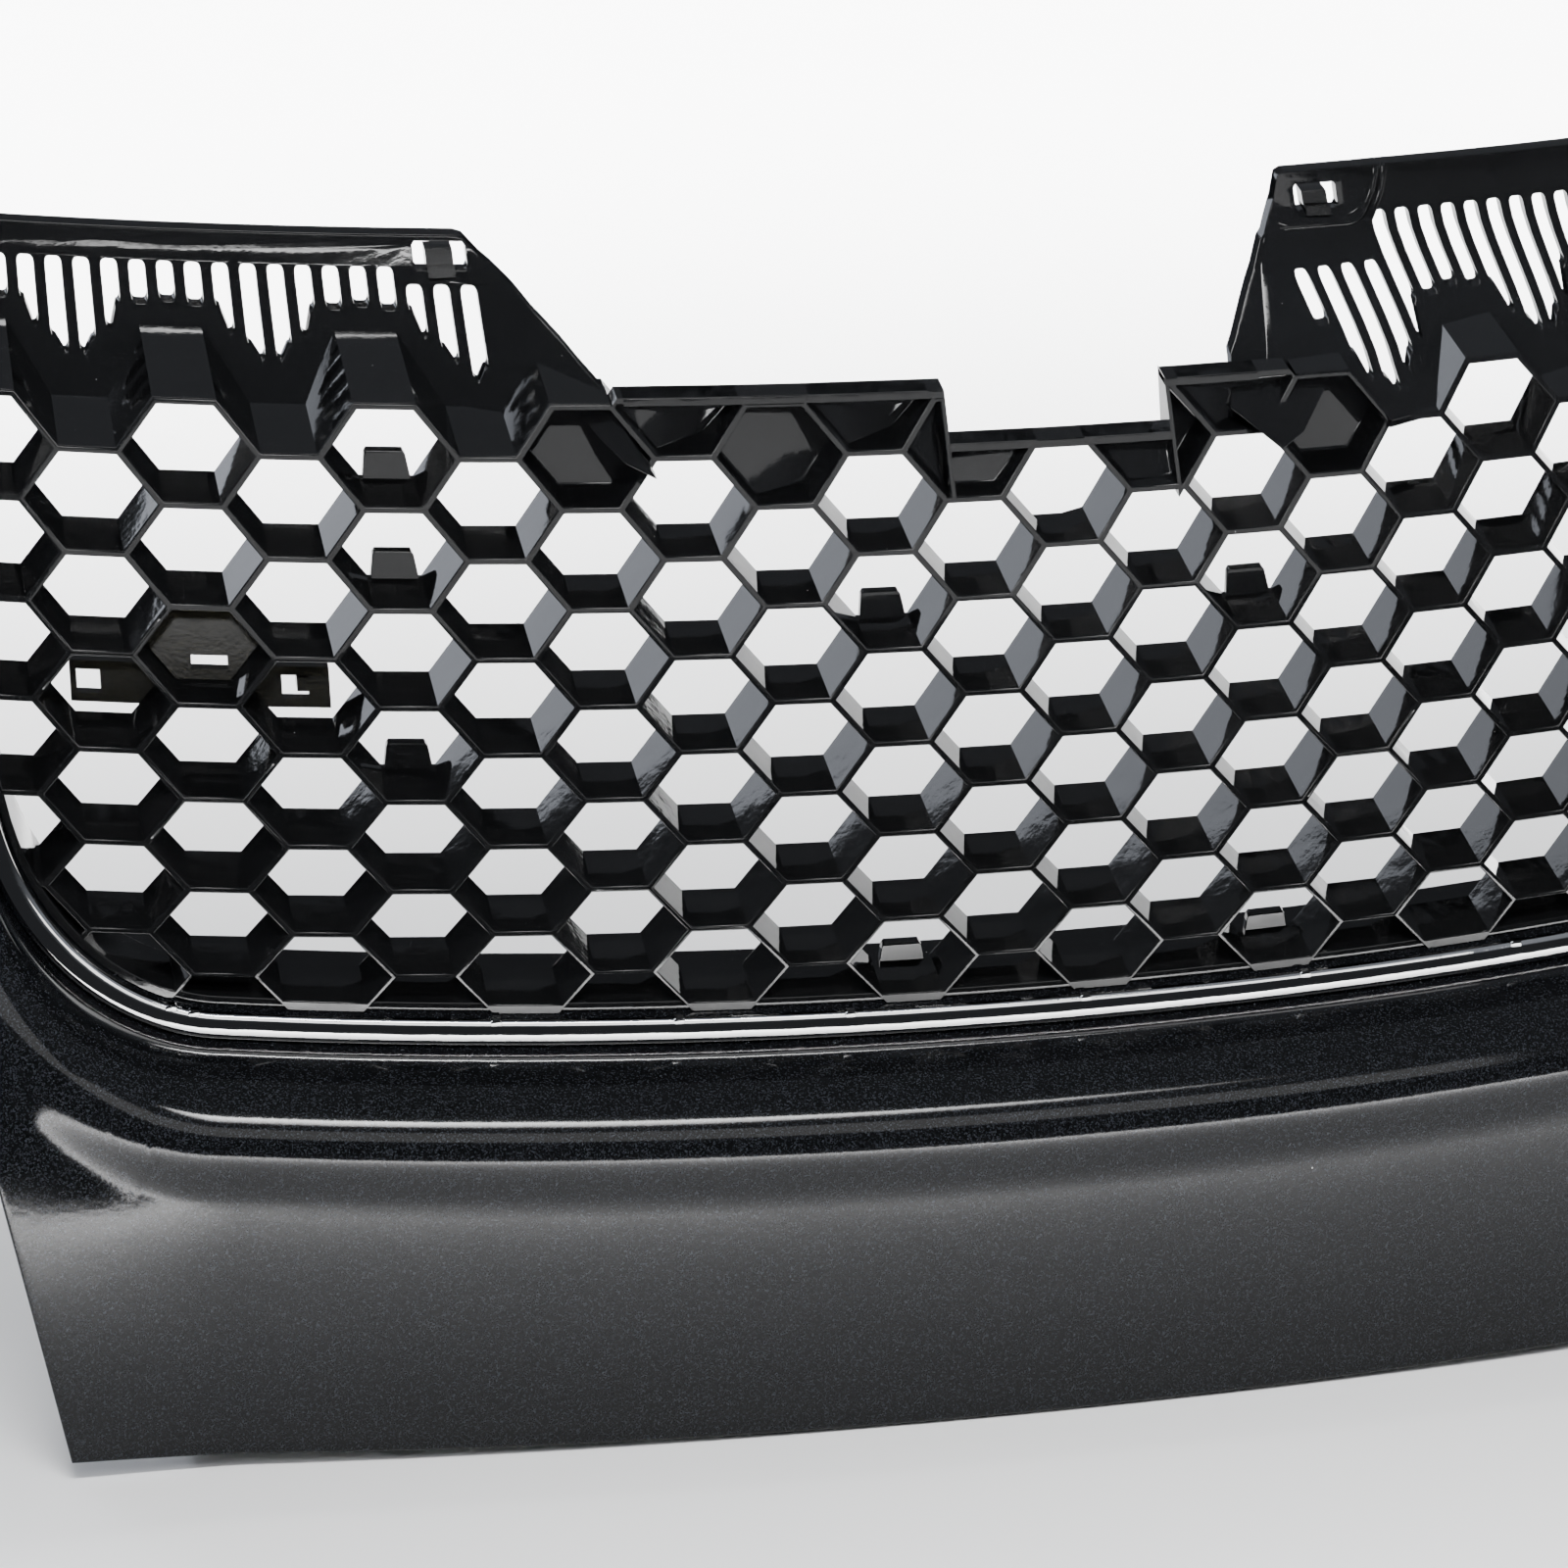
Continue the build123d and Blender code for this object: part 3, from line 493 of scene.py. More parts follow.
def metal(name, color, rough, stain):
    f = Finish(name)
    cloud = f.noise(240, 4.0, 0.6)
    wear = f.noise(1500, 3.0)
    f.feed("Base Color", f.blend(cloud, color, stain))
    f.feed("Metallic", (0.85 + 0.15 * wear).clamp(0, 1))
    f.feed("Roughness", (rough + 0.25 * (cloud - 0.4)).clamp(0.1, 0.9))
    f.bump((wear, 0.1, 0.0002))
    return f.material


def closedFoam():
    f = Finish("foam")
    cell = f.cells(900)
    # base colour darker towards each pore's middle, where the bump dips: painted shade in the pores
    f.feed("Base Color", f.blend(cell, gray(0.008), gray(0.03)))
    f.feed("Roughness", (0.8 + 0.15 * cell).clamp(0, 1))
    f.bump((cell, 0.6, 0.0006))
    return f.material


black, paint, chrome = mouldedBlack(), paintedBlack(), brightStrip()
nodeFinish = {
    "badge_carrier": satinPlastic("carrier plastic", 0.003, 0.007, 0.15, 900, (1.0, 0.92, 0.55)),
    "upper_clip_": satinPlastic("clip plastic", 0.002, 0.004, 0.2),
    "side_bracket_": satinPlastic("bracket plastic", 0.012, 0.03, 0.5, 700),
    "lower_flange_nuts": satinPlastic("nylon", 0.42, 0.55, 0.4, 1200, (1, 0.98, 0.9)),
    "moulding_screws_": metal("zinc plate", gray(0.45, (1, 0.97, 0.85)), 0.3, gray(0.2, (1, 0.95, 0.8))),
    "bracket_screws_": metal("bracket zinc plate", gray(0.45, (1, 0.97, 0.85)), 0.3, gray(0.2, (1, 0.95, 0.8))),
    "trim_clips_": metal("spring steel", gray(0.10), 0.35, gray(0.04)),
    "plate_nuts_": metal("plate steel", gray(0.16), 0.35, gray(0.06)),
    "foam_strip_": closedFoam()}
for name, node in frame["nodes"].items():
    for start, material in nodeFinish.items():
        if name.startswith(start):
            node.data.materials.clear()
            node.data.materials.append(material)
print("materials made")

# honeycomb moulding: cells
cells = Shell()
ledgeTop, (notchLeft, notchRight, notchLow) = lattice["ledge"], lattice["notch"]
for column in range(-lattice["lastColumn"], lattice["lastColumn"] + 1):
    for row in range(-3, lattice["rowsDown"] + 1):
        if (column + row) % 2 or row < (-3 if abs(column) <= 3 else -2):
            continue
        blank = row == -3 or (row == -2 and abs(column) <= lattice["firstEarColumn"])
        lines = hexLines(column, row)
        x, z = column * lattice["pitch"], -row * halfCell
        near = [l for l in borderLines if np.hypot(l[4] - x, l[5] - z) < 60]
        wall = lattice["levelWall"]
        variants = [lines + near]
        if abs(column) < lattice["firstEarColumn"]:
            top = (0.0, 1.0, ledgeTop, wall, x, z)
            variants = [lines + near + [top]]
            reach = lattice["pitch"]
            if row <= -2 and notchLeft - reach < x < notchRight + reach:
                lowered = (0.0, 1.0, notchLow, wall, x, z)
                if x < notchLeft + 10:
                    variants = [lines + [top, (1.0, 0.0, notchLeft, wall, x, z)],
                                lines + [lowered, (-1.0, 0.0, -notchLeft, 0.0, x, z)]]
                elif x > notchRight - 10:
                    variants = [lines + [top, (-1.0, 0.0, -notchRight, wall, x, z)],
                                lines + [lowered, (1.0, 0.0, notchRight, 0.0, x, z)]]
                else:
                    variants = [lines + [lowered]]
        if row == -3 and notchLeft + 10 < x < notchRight - 10:
            variants = []
        depth = lattice["blankDepth"] if blank else lattice["depth"]
        for variant in variants:
            ledgeAt = notchLow if (column, row) == (1, -1) else None
            if blank and abs(column) < lattice["firstEarColumn"]:
                inNotch = any(l[:3] == (0.0, 1.0, notchLow) for l in variant)
                ledgeAt = notchLow if inNotch else ledgeTop
            cellRings(cells, variant, blank, depth, ledgeAt)


def zigzag(lift=0.0):
    # upper walls of the top cells from the first ear column outwards, on the right side
    path = []
    for column in range(lattice["firstEarColumn"], lattice["lastColumn"] + 2):
        middle, reach = column * lattice["pitch"], lattice["side"] / 2
        z = (3 if column % 2 == 0 else 2) * halfCell + lift
        path += [(middle - reach, z), (middle + reach, z)]
    return path


# hoods of the top cells: the zigzag of their upper walls carried back to the deck
hood = dict(round=0.42, into=2.5)
for side in (-1, 1):
    path = [(side * px, pz) for px, pz in zigzag() if px < sideX + 22][::side]
    edges = []
    for (ax, az), (cx, cz) in zip(path[:-1], path[1:]):
        size = np.hypot(cx - ax, cz - az)
        nx, nz = -(cz - az) / size, (cx - ax) / size
        half = lattice["levelWall"] / 2 if abs(cz - az) < 0.1 else lattice["slantWall"] / 2
        edges.append((nx, nz, nx * ax + nz * az, half))
    r = hood["round"]
    quarter = np.radians([0, 22.5, 45, 67.5, 90])
    steps = [(0, 0.0, 0.0)] + [(1, -r + r * sin(a), r - r * cos(a)) for a in quarter]
    band = []
    for i in range(len(path)):
        a, b = edges[max(i - 1, 0)], edges[min(i, len(edges) - 1)]

        def at(share, offset):
            if a is b:
                nx, nz = a[:2]
                out = share * a[3] + offset
                return path[i][0] + nx * out, path[i][1] + nz * out
            return crossing(a, b, -(share * a[3] + offset), -(share * b[3] + offset))
        section = []
        for share, offset, y in steps:
            x, z = at(share, offset)
            section.append((x, front(x, z) + y, z))
        x, z = at(1, 0)
        backY = deckHeight(x, z)
        start = section[-1][1]
        section += [(x, start + (backY + hood["into"] - start) * f, z) for f in (0.33, 0.67, 1.0)]
        x, z = at(-1, -lattice["draft"])
        backY = deckHeight(x, z)
        start = front(x, z) + lattice["depth"] - 1
        section += [(x, backY + hood["into"] + 1.5, z), (x, start + (backY - start) * 0.5, z), (x, start, z)]
        x, z = at(0, 0)
        section.append((x, front(x, z) + lattice["depth"] - 1, z))
        band.append(section)
    cells.grid(np.array(band), closeColumns=True, capRows=True)

# rim behind the opening's line and the flange behind the surround
flangeOf = dict(start=19.5, thick=2.5, out=11.6, rimEnd=25.0, screwOut=7.0)
ux, uz, unx, unz = uLine(runs((-3, -2, 20), (-2, -1, 40), (-1, 1, 60), (1, 2, 40), (2, 3, 20)))
o, s0, s1, end = flangeOf["out"], flangeOf["start"], flangeOf["start"] + flangeOf["thick"], flangeOf["rimEnd"]
# closed outline of (outward, depth) pairs carried along the opening's line, depth counted from the front
outline = [(-2.0, 1.2), (-1.7, 0.9), (-0.4, 0.9), (-0.05, 1.2), (-0.05, s0), (o - 0.6, s0), (o, s0 + 0.6),
           (o, s1 - 0.6), (o - 0.6, s1), (-0.05, s1), (-0.05, end - 0.5), (-0.5, end), (-1.6, end),
           (-2.0, end - 0.5)]
out, y = np.array(outline, float).T
px, pz = ux[:, None] + unx[:, None] * out, uz[:, None] + unz[:, None] * out
cells.grid(np.stack([px, front(px, pz) + y, pz], -1), closeColumns=True, capRows=True)
screwT = {"left": (-1.5, -2.3, -2.75), "right": (1.5, 2.3, 2.75), "bottom": (-0.8, -0.4, 0.0, 0.4, 0.8)}
for group in screwT.values():
    for station in group:
        sx, sz, snx, snz = uLine(station)
        px, pz = float(sx + snx * flangeOf["screwOut"]), float(sz + snz * flangeOf["screwOut"])
        pad = [(2.4, 21.5), (4.6, 21.5), (5.0, 22.0), (5.0, 26.6), (4.6, 27.0), (2.4, 27.0)]
        cells.turn((px, front(sx, sz), pz), pad)

# bar along the ledge between the ears and down in the notch
ledgeBar = dict(left=-98.0, right=90.0, high=1.6, deep=7.0, round=0.3)
for left, right, top in ((ledgeBar["left"], notchLeft, ledgeTop), (notchLeft, notchRight, notchLow),
                         (notchRight, ledgeBar["right"], ledgeTop)):
    x = np.linspace(left, right, int((right - left) / 4) + 2)[:, None]
    e, low = ledgeBar["round"], top - ledgeBar["high"]
    z = np.array([low, top - e, top - 0.3 * e, top, top, low])[None] + 0 * x
    y = np.array([0.0, 0.0, 0.3 * e, e, ledgeBar["deep"], ledgeBar["deep"]])[None] + front(x, z)
    cells.grid(np.stack([x + 0 * z, y, z], -1), closeColumns=True, capRows=True)

# upright tabs at the rear of some cells
tab = dict(cells=[(-6, -2), (-6, 0), (-6, 4), (-1, 1), (3, 1), (-1, 9), (3, 9)],
           base=14.0, top=11.0, high=7.0, thick=2.5)
for column, row in tab["cells"]:
    x, z = column * lattice["pitch"], -row * halfCell - halfCell
    b, c, h = tab["base"] / 2, tab["top"] / 2, tab["high"]
    outline = [(x - b, z), (x + b, z), (x + c + 0.25, z + h - 0.8), (x + c - 0.5, z + h),
               (x - c + 0.5, z + h), (x - c - 0.25, z + h - 0.8)]
    points, faces = plateMesh([outline], tab["thick"], 0.3, [], [])
    px, pz, w = points.T
    cells.add(np.stack([px, front(px, pz) + lattice["depth"] - tab["thick"] / 2 + w, pz], 1), faces)
points, faces = cells.all()
meshPiece("honeycomb", points, faces, black, 32.0, "honeycomb_grille")

# slotted decks of the ears
ears = {
    "left": dict(side=-1, top=[(-133.5, 48.4), (-136.0, 48.9), (-200.0, 48.9), (-265.0, 48.9), (-330.0, 48.9)],
                 inner=[(-99.0, 27.0), (-103.2, 32.2), (-110.4, 35.4), (-116.5, 37.6), (-121.7, 40.5),
                        (-129.0, 44.8)],
                 window=(-140.8, 44.8), windowSize=(15.5, 5.6),
                 slotTop=42.6, nearTop=39.5, nearUntil=152.0, firstSlot=133.0),
    "right": dict(side=1, top=[(117.6, 56.4), (119.6, 57.2), (153.0, 57.4), (217.0, 57.4), (330.0, 57.4)],
                  inner=[(80.0, 26.0), (85.1, 32.9), (95.6, 37.0), (103.6, 40.0), (110.6, 44.0), (115.4, 51.0)],
                  window=(129.5, 51.0), windowSize=(14.0, 6.0),
                  slotTop=47.0, nearTop=39.5, nearUntil=147.0, firstSlot=116.0)}
slot = dict(wide=4.7, perPair=7, web=4.4, thick=5.0, overlap=0.3)
for earName, ear in ears.items():
    side = ear["side"]
    zig = [(side * px, pz) for px, pz in zigzag(slot["overlap"]) if px < sideX + 19]
    top = [p for p in ear["top"] if abs(p[0]) < 300] + [(side * 302.0, ear["top"][-1][1])]
    foot = [(side * 100.0, 22.0), (side * 92.0, 20.0)]
    outline = ear["inner"] + top + [(side * 297.5, 21.1)] + zig[::-1][:-1] + foot
    holes = []
    pitch = 2 * lattice["pitch"] / slot["perPair"]
    run = lattice["pitch"] - lattice["side"]
    for pair in range(2, lattice["lastColumn"] // 2 + 1):
        for k in range(-3, 4):
            x = 2 * pair * lattice["pitch"] + k * pitch
            if x < ear["firstSlot"] or x > 292:
                continue
            fold = min(1.0, max(0.0, (abs(k * pitch) - lattice["side"] / 2 + 1) / run))
            low = 3 * halfCell - fold * halfCell + slot["web"]
            high = ear["nearTop"] if x < ear["nearUntil"] else ear["slotTop"]
            slant = {2: -4.0, -2: 4.0, 3: -2.0, -3: 2.0}.get(k, 0.0) * -side
            low += {2: 3.2, 3: 1.9}.get(abs(k), 0.0) if x > 134 else -0.6
            holes.append(roundedSlot(side * x, low, high, slot["wide"], slant))
    holes.append(box2d(*ear["window"], *ear["windowSize"]))
    cuts = np.arange(-300, 301, 20.0), np.arange(16, 60, 3.0)
    points, faces = plateMesh([outline] + holes, slot["thick"], 0.35, *cuts)
    px, pz, w = points.T
    points = np.stack([px, deckHeight(px, pz) + slot["thick"] / 2 + w, pz], 1)
    meshPiece("deck_" + earName, points, faces, black, 35.0)
print("moulding made")

# ridges on the right ear: round beads along paths on the deck
bead = dict(radius=1.15, high=1.3, paths=[
    [(153.5, 57.0), (151.0, 51.0), (145.5, 45.2), (141.0, 43.6), (113.0, 43.6)],
    [(150.6, 57.0), (148.0, 51.4), (143.2, 46.6), (140.0, 45.7), (116.0, 45.7)],
    [(112.4, 43.4), (100.0, 34.3), (89.5, 26.0)]])


def smoothPath(points, spacing):
    # straight runs joined, resampled evenly, then rounded by averaging neighbours
    p = np.array(points, float)
    length = np.concatenate([[0], np.cumsum(np.hypot(*np.diff(p, axis=0).T))])
    s = np.linspace(0, length[-1], max(4, int(length[-1] / spacing)))
    q = np.stack([np.interp(s, length, p[:, 0]), np.interp(s, length, p[:, 1])], 1)
    for _ in range(3):
        q[1:-1] = (q[:-2] + 2 * q[1:-1] + q[2:]) / 4
    return q


beads = Shell()
for path in bead["paths"]:
    q = smoothPath(path, 1.0)
    along = np.gradient(q, axis=0)
    along /= np.hypot(*along.T)[:, None]
    angle = np.linspace(-0.25, pi + 0.25, 11)
    off = bead["radius"] * np.cos(angle)
    x = q[:, 0:1] - along[:, 1:2] * off
    z = q[:, 1:2] + along[:, 0:1] * off
    taper = np.clip(np.minimum(np.arange(len(q)), np.arange(len(q))[::-1]) / 2.0, 0.05, 1)[:, None]
    y = deckHeight(x, z) - bead["high"] * taper * np.sin(angle) + 0.1
    beads.grid(np.stack([x, y, z], -1), closeColumns=True, capRows=True)
points, faces = beads.all()
meshPiece("deck_beads_right", points, faces, black, 50.0)

# surround panel
panel = dict(thick=2.8, edgeRound=0.9, halfWidth=270.0, bottom=-229.75, cornerRise=5.0,
             sideEdge=[(270, -225), (284, -154), (291, -120), (306, -80), (324, -40), (337, 5), (346, 60),
                       (352, 120)],
             low=[(7.1, 4.4), (7.2, 7.5), (6.4, 13), (5.9, 20), (6.3, 27), (8.0, 34), (11.5, 40.4), (30, 50.2),
                  (55, 62.5), (80, 74.4), (100, 83.5), (135, 98)],
             high=[(7.1, 4.4), (7.2, 6.5), (7.0, 8.5), (7.4, 10.5), (8.2, 12.2), (9.8, 13.6), (12.5, 14.6),
                   (18, 14.6), (26, 12.5), (34, 9), (42, 4), (54, -5)],
             returnDepth=17.0, returnThick=2.2, gap=0.3)


def hermite(points, count):
    # smooth curve through points: cubic pieces with chord-length parameters and averaged slopes
    p = np.array(points, float)
    s = np.concatenate([[0], np.cumsum(np.linalg.norm(np.diff(p, axis=0), axis=1))])
    d = np.diff(p, axis=0) / np.diff(s)[:, None]
    h = np.diff(s)
    m = np.empty_like(p)
    m[1:-1] = (d[:-1] * h[1:, None] + d[1:] * h[:-1, None]) / (h[:-1] + h[1:])[:, None]
    m[0], m[-1] = 1.5 * d[0] - 0.5 * m[1], 1.5 * d[-1] - 0.5 * m[-2]
    u = np.linspace(0, s[-1], count)
    i = np.clip(np.searchsorted(s, u, side="right") - 1, 0, len(h) - 1)
    f = ((u - s[i]) / h[i])[:, None]
    g = h[i][:, None]
    return ((2 * f**3 - 3 * f**2 + 1) * p[i] + (f**3 - 2 * f**2 + f) * g * m[i]
            + (3 * f**2 - 2 * f**3) * p[i + 1] + (f**3 - f**2) * g * m[i + 1])


sideCurve = hermite(panel["sideEdge"], 400)


def outsideBy(points):
    # how far car-axes points lie beyond the panel's outline, across it; negative inside
    x, z = np.abs(points[..., 0]), points[..., 2]
    limit = np.interp(z, sideCurve[:, 1], sideCurve[:, 0])
    floor = panel["bottom"] + panel["cornerRise"] * (x / panel["halfWidth"])**2
    return np.maximum(x - limit, floor - z)


fine = 900


def byControls(points, count):
    # the curve's points matched by their share of the control points, not of the length
    curve = hermite(points, count)
    p = np.array(points, float)
    s = np.concatenate([[0], np.cumsum(np.linalg.norm(np.diff(p, axis=0), axis=1))])
    u = np.interp(np.linspace(0, len(p) - 1, count), np.arange(len(p)), s)
    at = np.linspace(0, s[-1], count)
    return np.stack([np.interp(u, at, curve[:, 0]), np.interp(u, at, curve[:, 1])], 1)


lowCurve, highCurve = byControls(panel["low"], fine), byControls(panel["high"], fine)


def skinPoints(stations):
    # car-axes points of the front skin, stations x fine
    share = np.clip((2.5 - np.abs(stations)) / 1.0, 0, 1)
    share = (share * share * (3 - 2 * share))[:, None, None]
    curve = share * lowCurve + (1 - share) * highCurve
    sx, sz, snx, snz = uLine(stations)
    base = front(sx, sz)
    out, ahead = curve[..., 0], curve[..., 1]
    mould = np.stack([sx[:, None] + snx[:, None] * out, base[:, None] - ahead,
                      sz[:, None] + snz[:, None] * out], -1)
    y = mould[..., 1] * cos(drawTilt) - mould[..., 2] * sin(drawTilt)
    z = mould[..., 1] * sin(drawTilt) + mould[..., 2] * cos(drawTilt)
    return np.stack([mould[..., 0], y, z], -1)


def cornerStation():
    # the station whose profile line runs into the panel's lower corner, by bisection
    lo, hi = 1.0, 2.0
    for _ in range(40):
        mid = (lo + hi) / 2
        line = skinPoints(np.array([mid]))[0]
        beyond = outsideBy(line) > 0
        first = line[np.argmax(beyond)] if beyond.any() else line[-1]
        x, z = abs(first[0]), first[2]
        sideFirst = x - np.interp(z, sideCurve[:, 1], sideCurve[:, 0])
        floorFirst = panel["bottom"] + panel["cornerRise"] * (x / panel["halfWidth"])**2 - z
        if floorFirst > sideFirst:
            lo = mid
        else:
            hi = mid
    return (lo + hi) / 2


corner = cornerStation()
half = runs((0, 1, 60), (1, corner, 30), (corner, 2, 60), (2, 3, 45))
stations = np.concatenate([-half[::-1], half[1:]])
full = skinPoints(stations)
beyond = outsideBy(full) > 0
stop = np.where(beyond.any(1), np.argmax(beyond, 1), fine - 1)
rows = np.arange(len(stations))
before = np.maximum(stop - 1, 0)
gapA, gapB = -outsideBy(full)[rows, before], outsideBy(full)[rows, stop]
stopAt = np.where(beyond.any(1), before + gapA / np.maximum(gapA + gapB, 1e-9), fine - 1.0)
gone = np.cumsum(np.linalg.norm(np.diff(full, axis=1), axis=2), axis=1)
lengths = np.concatenate([np.zeros((len(stations), 1)), gone], 1)


def sampled(shares):
    # points at shares of each line's length up to the outline
    result = np.empty((len(stations), len(shares), 3))
    for i in range(len(stations)):
        end = np.interp(stopAt[i], np.arange(fine), lengths[i])
        place = np.interp(shares, [0, 1], [0, end])
        for k in range(3):
            result[i, :, k] = np.interp(place, lengths[i], full[i, :, k])
    return result


skin = sampled(runs((0, 0.45, 52), (0.45, 1, 34)))
tangentT = np.gradient(skin, axis=0)
tangentS = np.gradient(skin, axis=1)
normal = np.cross(tangentS, tangentT)
normal /= np.linalg.norm(normal, axis=2, keepdims=True)
normal *= -np.sign(normal[len(stations) // 2, -5, 1])
reach = tangentS / np.linalg.norm(tangentS, axis=2, keepdims=True)
r = panel["edgeRound"]
backShift = panel["thick"]
last, lastN, lastT = skin[:, -1:], normal[:, -1:], reach[:, -1:]
inset = last - lastT * r
roll = [inset - lastN * r + lastN * r * cos(a) + lastT * r * sin(a) for a in np.radians([0, 30, 60, 90])]
rollBack = [inset - lastN * (backShift - r) + lastT * r * sin(a) - lastN * r * cos(a)
            for a in np.radians([90, 60, 30, 0])]
back = skin - normal * backShift
# the seat under the strip, straight from the opening to the lip's foot
sx, sz, snx, snz = uLine(stations)
base = front(sx, sz)


def alongSections(pairs):
    out, ahead = np.array(pairs, float).T
    return np.stack([sx[:, None] + snx[:, None] * out, base[:, None] - ahead,
                     sz[:, None] + snz[:, None] * out], -1)


def toMould(points):
    # car axes to the moulding's own
    y = points[..., 1] * cos(drawTilt) + points[..., 2] * sin(drawTilt)
    z = -points[..., 1] * sin(drawTilt) + points[..., 2] * cos(drawTilt)
    return np.stack([points[..., 0], y, z], -1)


seatFront = alongSections([(0.35, 1.9), (2.6, 2.55), (4.8, 3.2), (6.6, 3.7)])
seatBack = alongSections([(9.6, 2.6), (6.6, 0.9), (4.8, 0.4), (2.6, -0.25), (0.35, -0.9)])
section = np.concatenate([seatFront, toMould(skin[:, :-2]), toMould(np.concatenate(roll, 1)),
                          toMould(np.concatenate(rollBack, 1)), toMould(back[:, 6:-2][:, ::-1]), seatBack], 1)
surround = Shell()
surround.grid(section, closeColumns=True, capRows=True)
g, w, d = panel["gap"], panel["returnThick"], panel["returnDepth"]
returnWall = [(g, -0.5), (g, 0.3 - d), (g + 0.3, -d), (g + w - 0.3, -d), (g + w, 0.3 - d), (g + w, -0.2)]
surround.grid(alongSections(returnWall), closeColumns=True, capRows=True)
for group in screwT.values():
    for station in group:
        px, pz, qx, qz = (float(v) for v in uLine(station))
        cx, cz = px + qx * flangeOf["screwOut"], pz + qz * flangeOf["screwOut"]
        boss = [(1.95, 2.5), (4.0, 2.5), (4.0, 18.8), (3.6, 19.2), (1.95, 19.2)]
        surround.turn((cx, front(px, pz), cz), boss)

# lower flange with its holes, and the towers of the side brackets, in car axes
flange = dict(level=-223.0, thick=2.5, rear=-48.0, half=240.0, line=-58.0, hole=4.0, pitch=120.0)
mid = len(stations) // 2
spread = np.linspace(-flange["half"], flange["half"], 25)
level = flange["level"] - 1.2
atLevel = np.array(sorted(tuple(np.interp(-level, -back[i, :, 2], back[i, :, k]) for k in (0, 1))
                          for i in range(mid - 58, mid + 59)))
frontY = np.interp(spread, atLevel[:, 0], atLevel[:, 1]) - 1.0
outline = list(zip(spread, frontY)) + [(flange["half"], flange["rear"]), (-flange["half"], flange["rear"])]
circle = np.linspace(0, 2 * pi, 33)[:-1]
holes = [[((i - 1.5) * flange["pitch"] + flange["hole"] * cos(a), flange["line"] + flange["hole"] * sin(a))
          for a in circle] for i in range(4)]
points, faces = plateMesh([outline] + holes, flange["thick"], 0.3, [], [])
points = points + np.array([0.0, 0.0, flange["level"] - flange["thick"] / 2])
surround.add(toMould(points), faces)
tower = dict(x=326.0, lean=0.25, pitch=36.0, end=56.0, radius=4.5, hole=1.95, depth=11.0)
flat = back.reshape(-1, 3)
for side in (-1, 1):
    for share in (-0.5, 0.5):
        z = share * tower["pitch"]
        x = side * (tower["x"] + tower["lean"] * z)
        nearest = flat[np.argmin((flat[:, 0] - x)**2 + (flat[:, 2] - z)**2)]
        start, end, bottom = nearest[1] - 1.0, tower["end"], tower["end"] - tower["depth"]
        hole, radius = tower["hole"], tower["radius"]
        outlineT = [(hole, bottom), (0.01, bottom), (0.01, start), (radius + 0.8, start), (radius, start + 9.0),
                    (radius, end - 0.4), (radius - 0.4, end), (hole, end)]
        post = Shell()
        post.turn((x, 0.0, z), outlineT)
        points, faces = post.all()
        surround.add(toMould(points), faces)
points, faces = surround.all()
meshPiece("surround", points, faces, paint, 40.0, "surround_panel")
print("surround made")

# bright strip: crowned section along the opening's line, small clips on its inner edge, studs behind
strip = dict(section=[(0.3, 2.2), (0.3, 3.2), (0.55, 3.8), (1.1, 4.45), (1.9, 5.05), (2.9, 5.65), (3.9, 6.15),
                      (4.8, 6.5), (5.6, 6.6), (6.2, 6.4), (6.6, 6.0), (6.8, 5.3), (6.8, 4.25)],
             clips=[-1.17, -1.09, -0.66, -0.43, -0.21, 0.1, 0.4, 0.7, 1.05], clipWide=3.2,
             studs=(1.35, 1.8, 2.15, 2.55, 0.95, 0.6, 0.2), studOut=5.1, studRadius=1.2)
bright = Shell()
bright.grid(alongSections(strip["section"]), closeColumns=True, capRows=True)
for station in strip["clips"]:
    px, pz, qx, qz = (float(v) for v in uLine(station))
    tx, tz = -qz, qx
    shape = []
    for along in (-0.5, -0.36, 0.36, 0.5):
        e = 0.0 if abs(along) > 0.4 else 0.5
        ring = [(-0.25 - e, 2.6), (-0.25 - e, 3.6 + e * 0.6), (0.2, 4.1 + e * 0.8), (0.9, 4.5 + e * 0.4),
                (0.9, 2.6)]
        across = along * strip["clipWide"]
        shape.append([(px + qx * a + tx * across, front(px, pz) - b, pz + qz * a + tz * across)
                      for a, b in ring])
    bright.grid(np.array(shape), closeColumns=True, capRows=True)
for station in [s * v for v in strip["studs"] for s in (-1, 1)]:
    px, pz, qx, qz = (float(v) for v in uLine(station))
    cx, cz = px + qx * strip["studOut"], pz + qz * strip["studOut"]
    r = strip["studRadius"]
    bright.turn((cx, front(px, pz), cz), [(0.02, -3.4), (r, -3.4), (r, 3.6), (r - 0.4, 4.0), (0.02, 4.0)], 16)
points, faces = bright.all()
meshPiece("trim_strip", points, faces, chrome, 40.0, "chrome_trim")
print("strip made")

# camera, floor and light
cameraPlace = dict(at=(-306.4, -1112.4, 274.4), right=(0.9758, -0.2187, 0.0),
                   forward=(0.2095, 0.935, -0.2862), lens=95.47)
at = (np.array(cameraPlace["at"]) + rowShift) / 1000
forward = Vector(cameraPlace["forward"]).normalized()
right = Vector(cameraPlace["right"]).normalized()
up = right.cross(forward).normalized()
camera = bpy.data.objects.new("camera", bpy.data.cameras.new("camera"))
camera.matrix_world = Matrix([[right[i], up[i], -forward[i], at[i]] for i in range(3)] + [[0, 0, 0, 1]])
camera.data.lens, camera.data.sensor_width = cameraPlace["lens"], 36.0
bpy.context.scene.collection.objects.link(camera)
bpy.context.scene.camera = camera

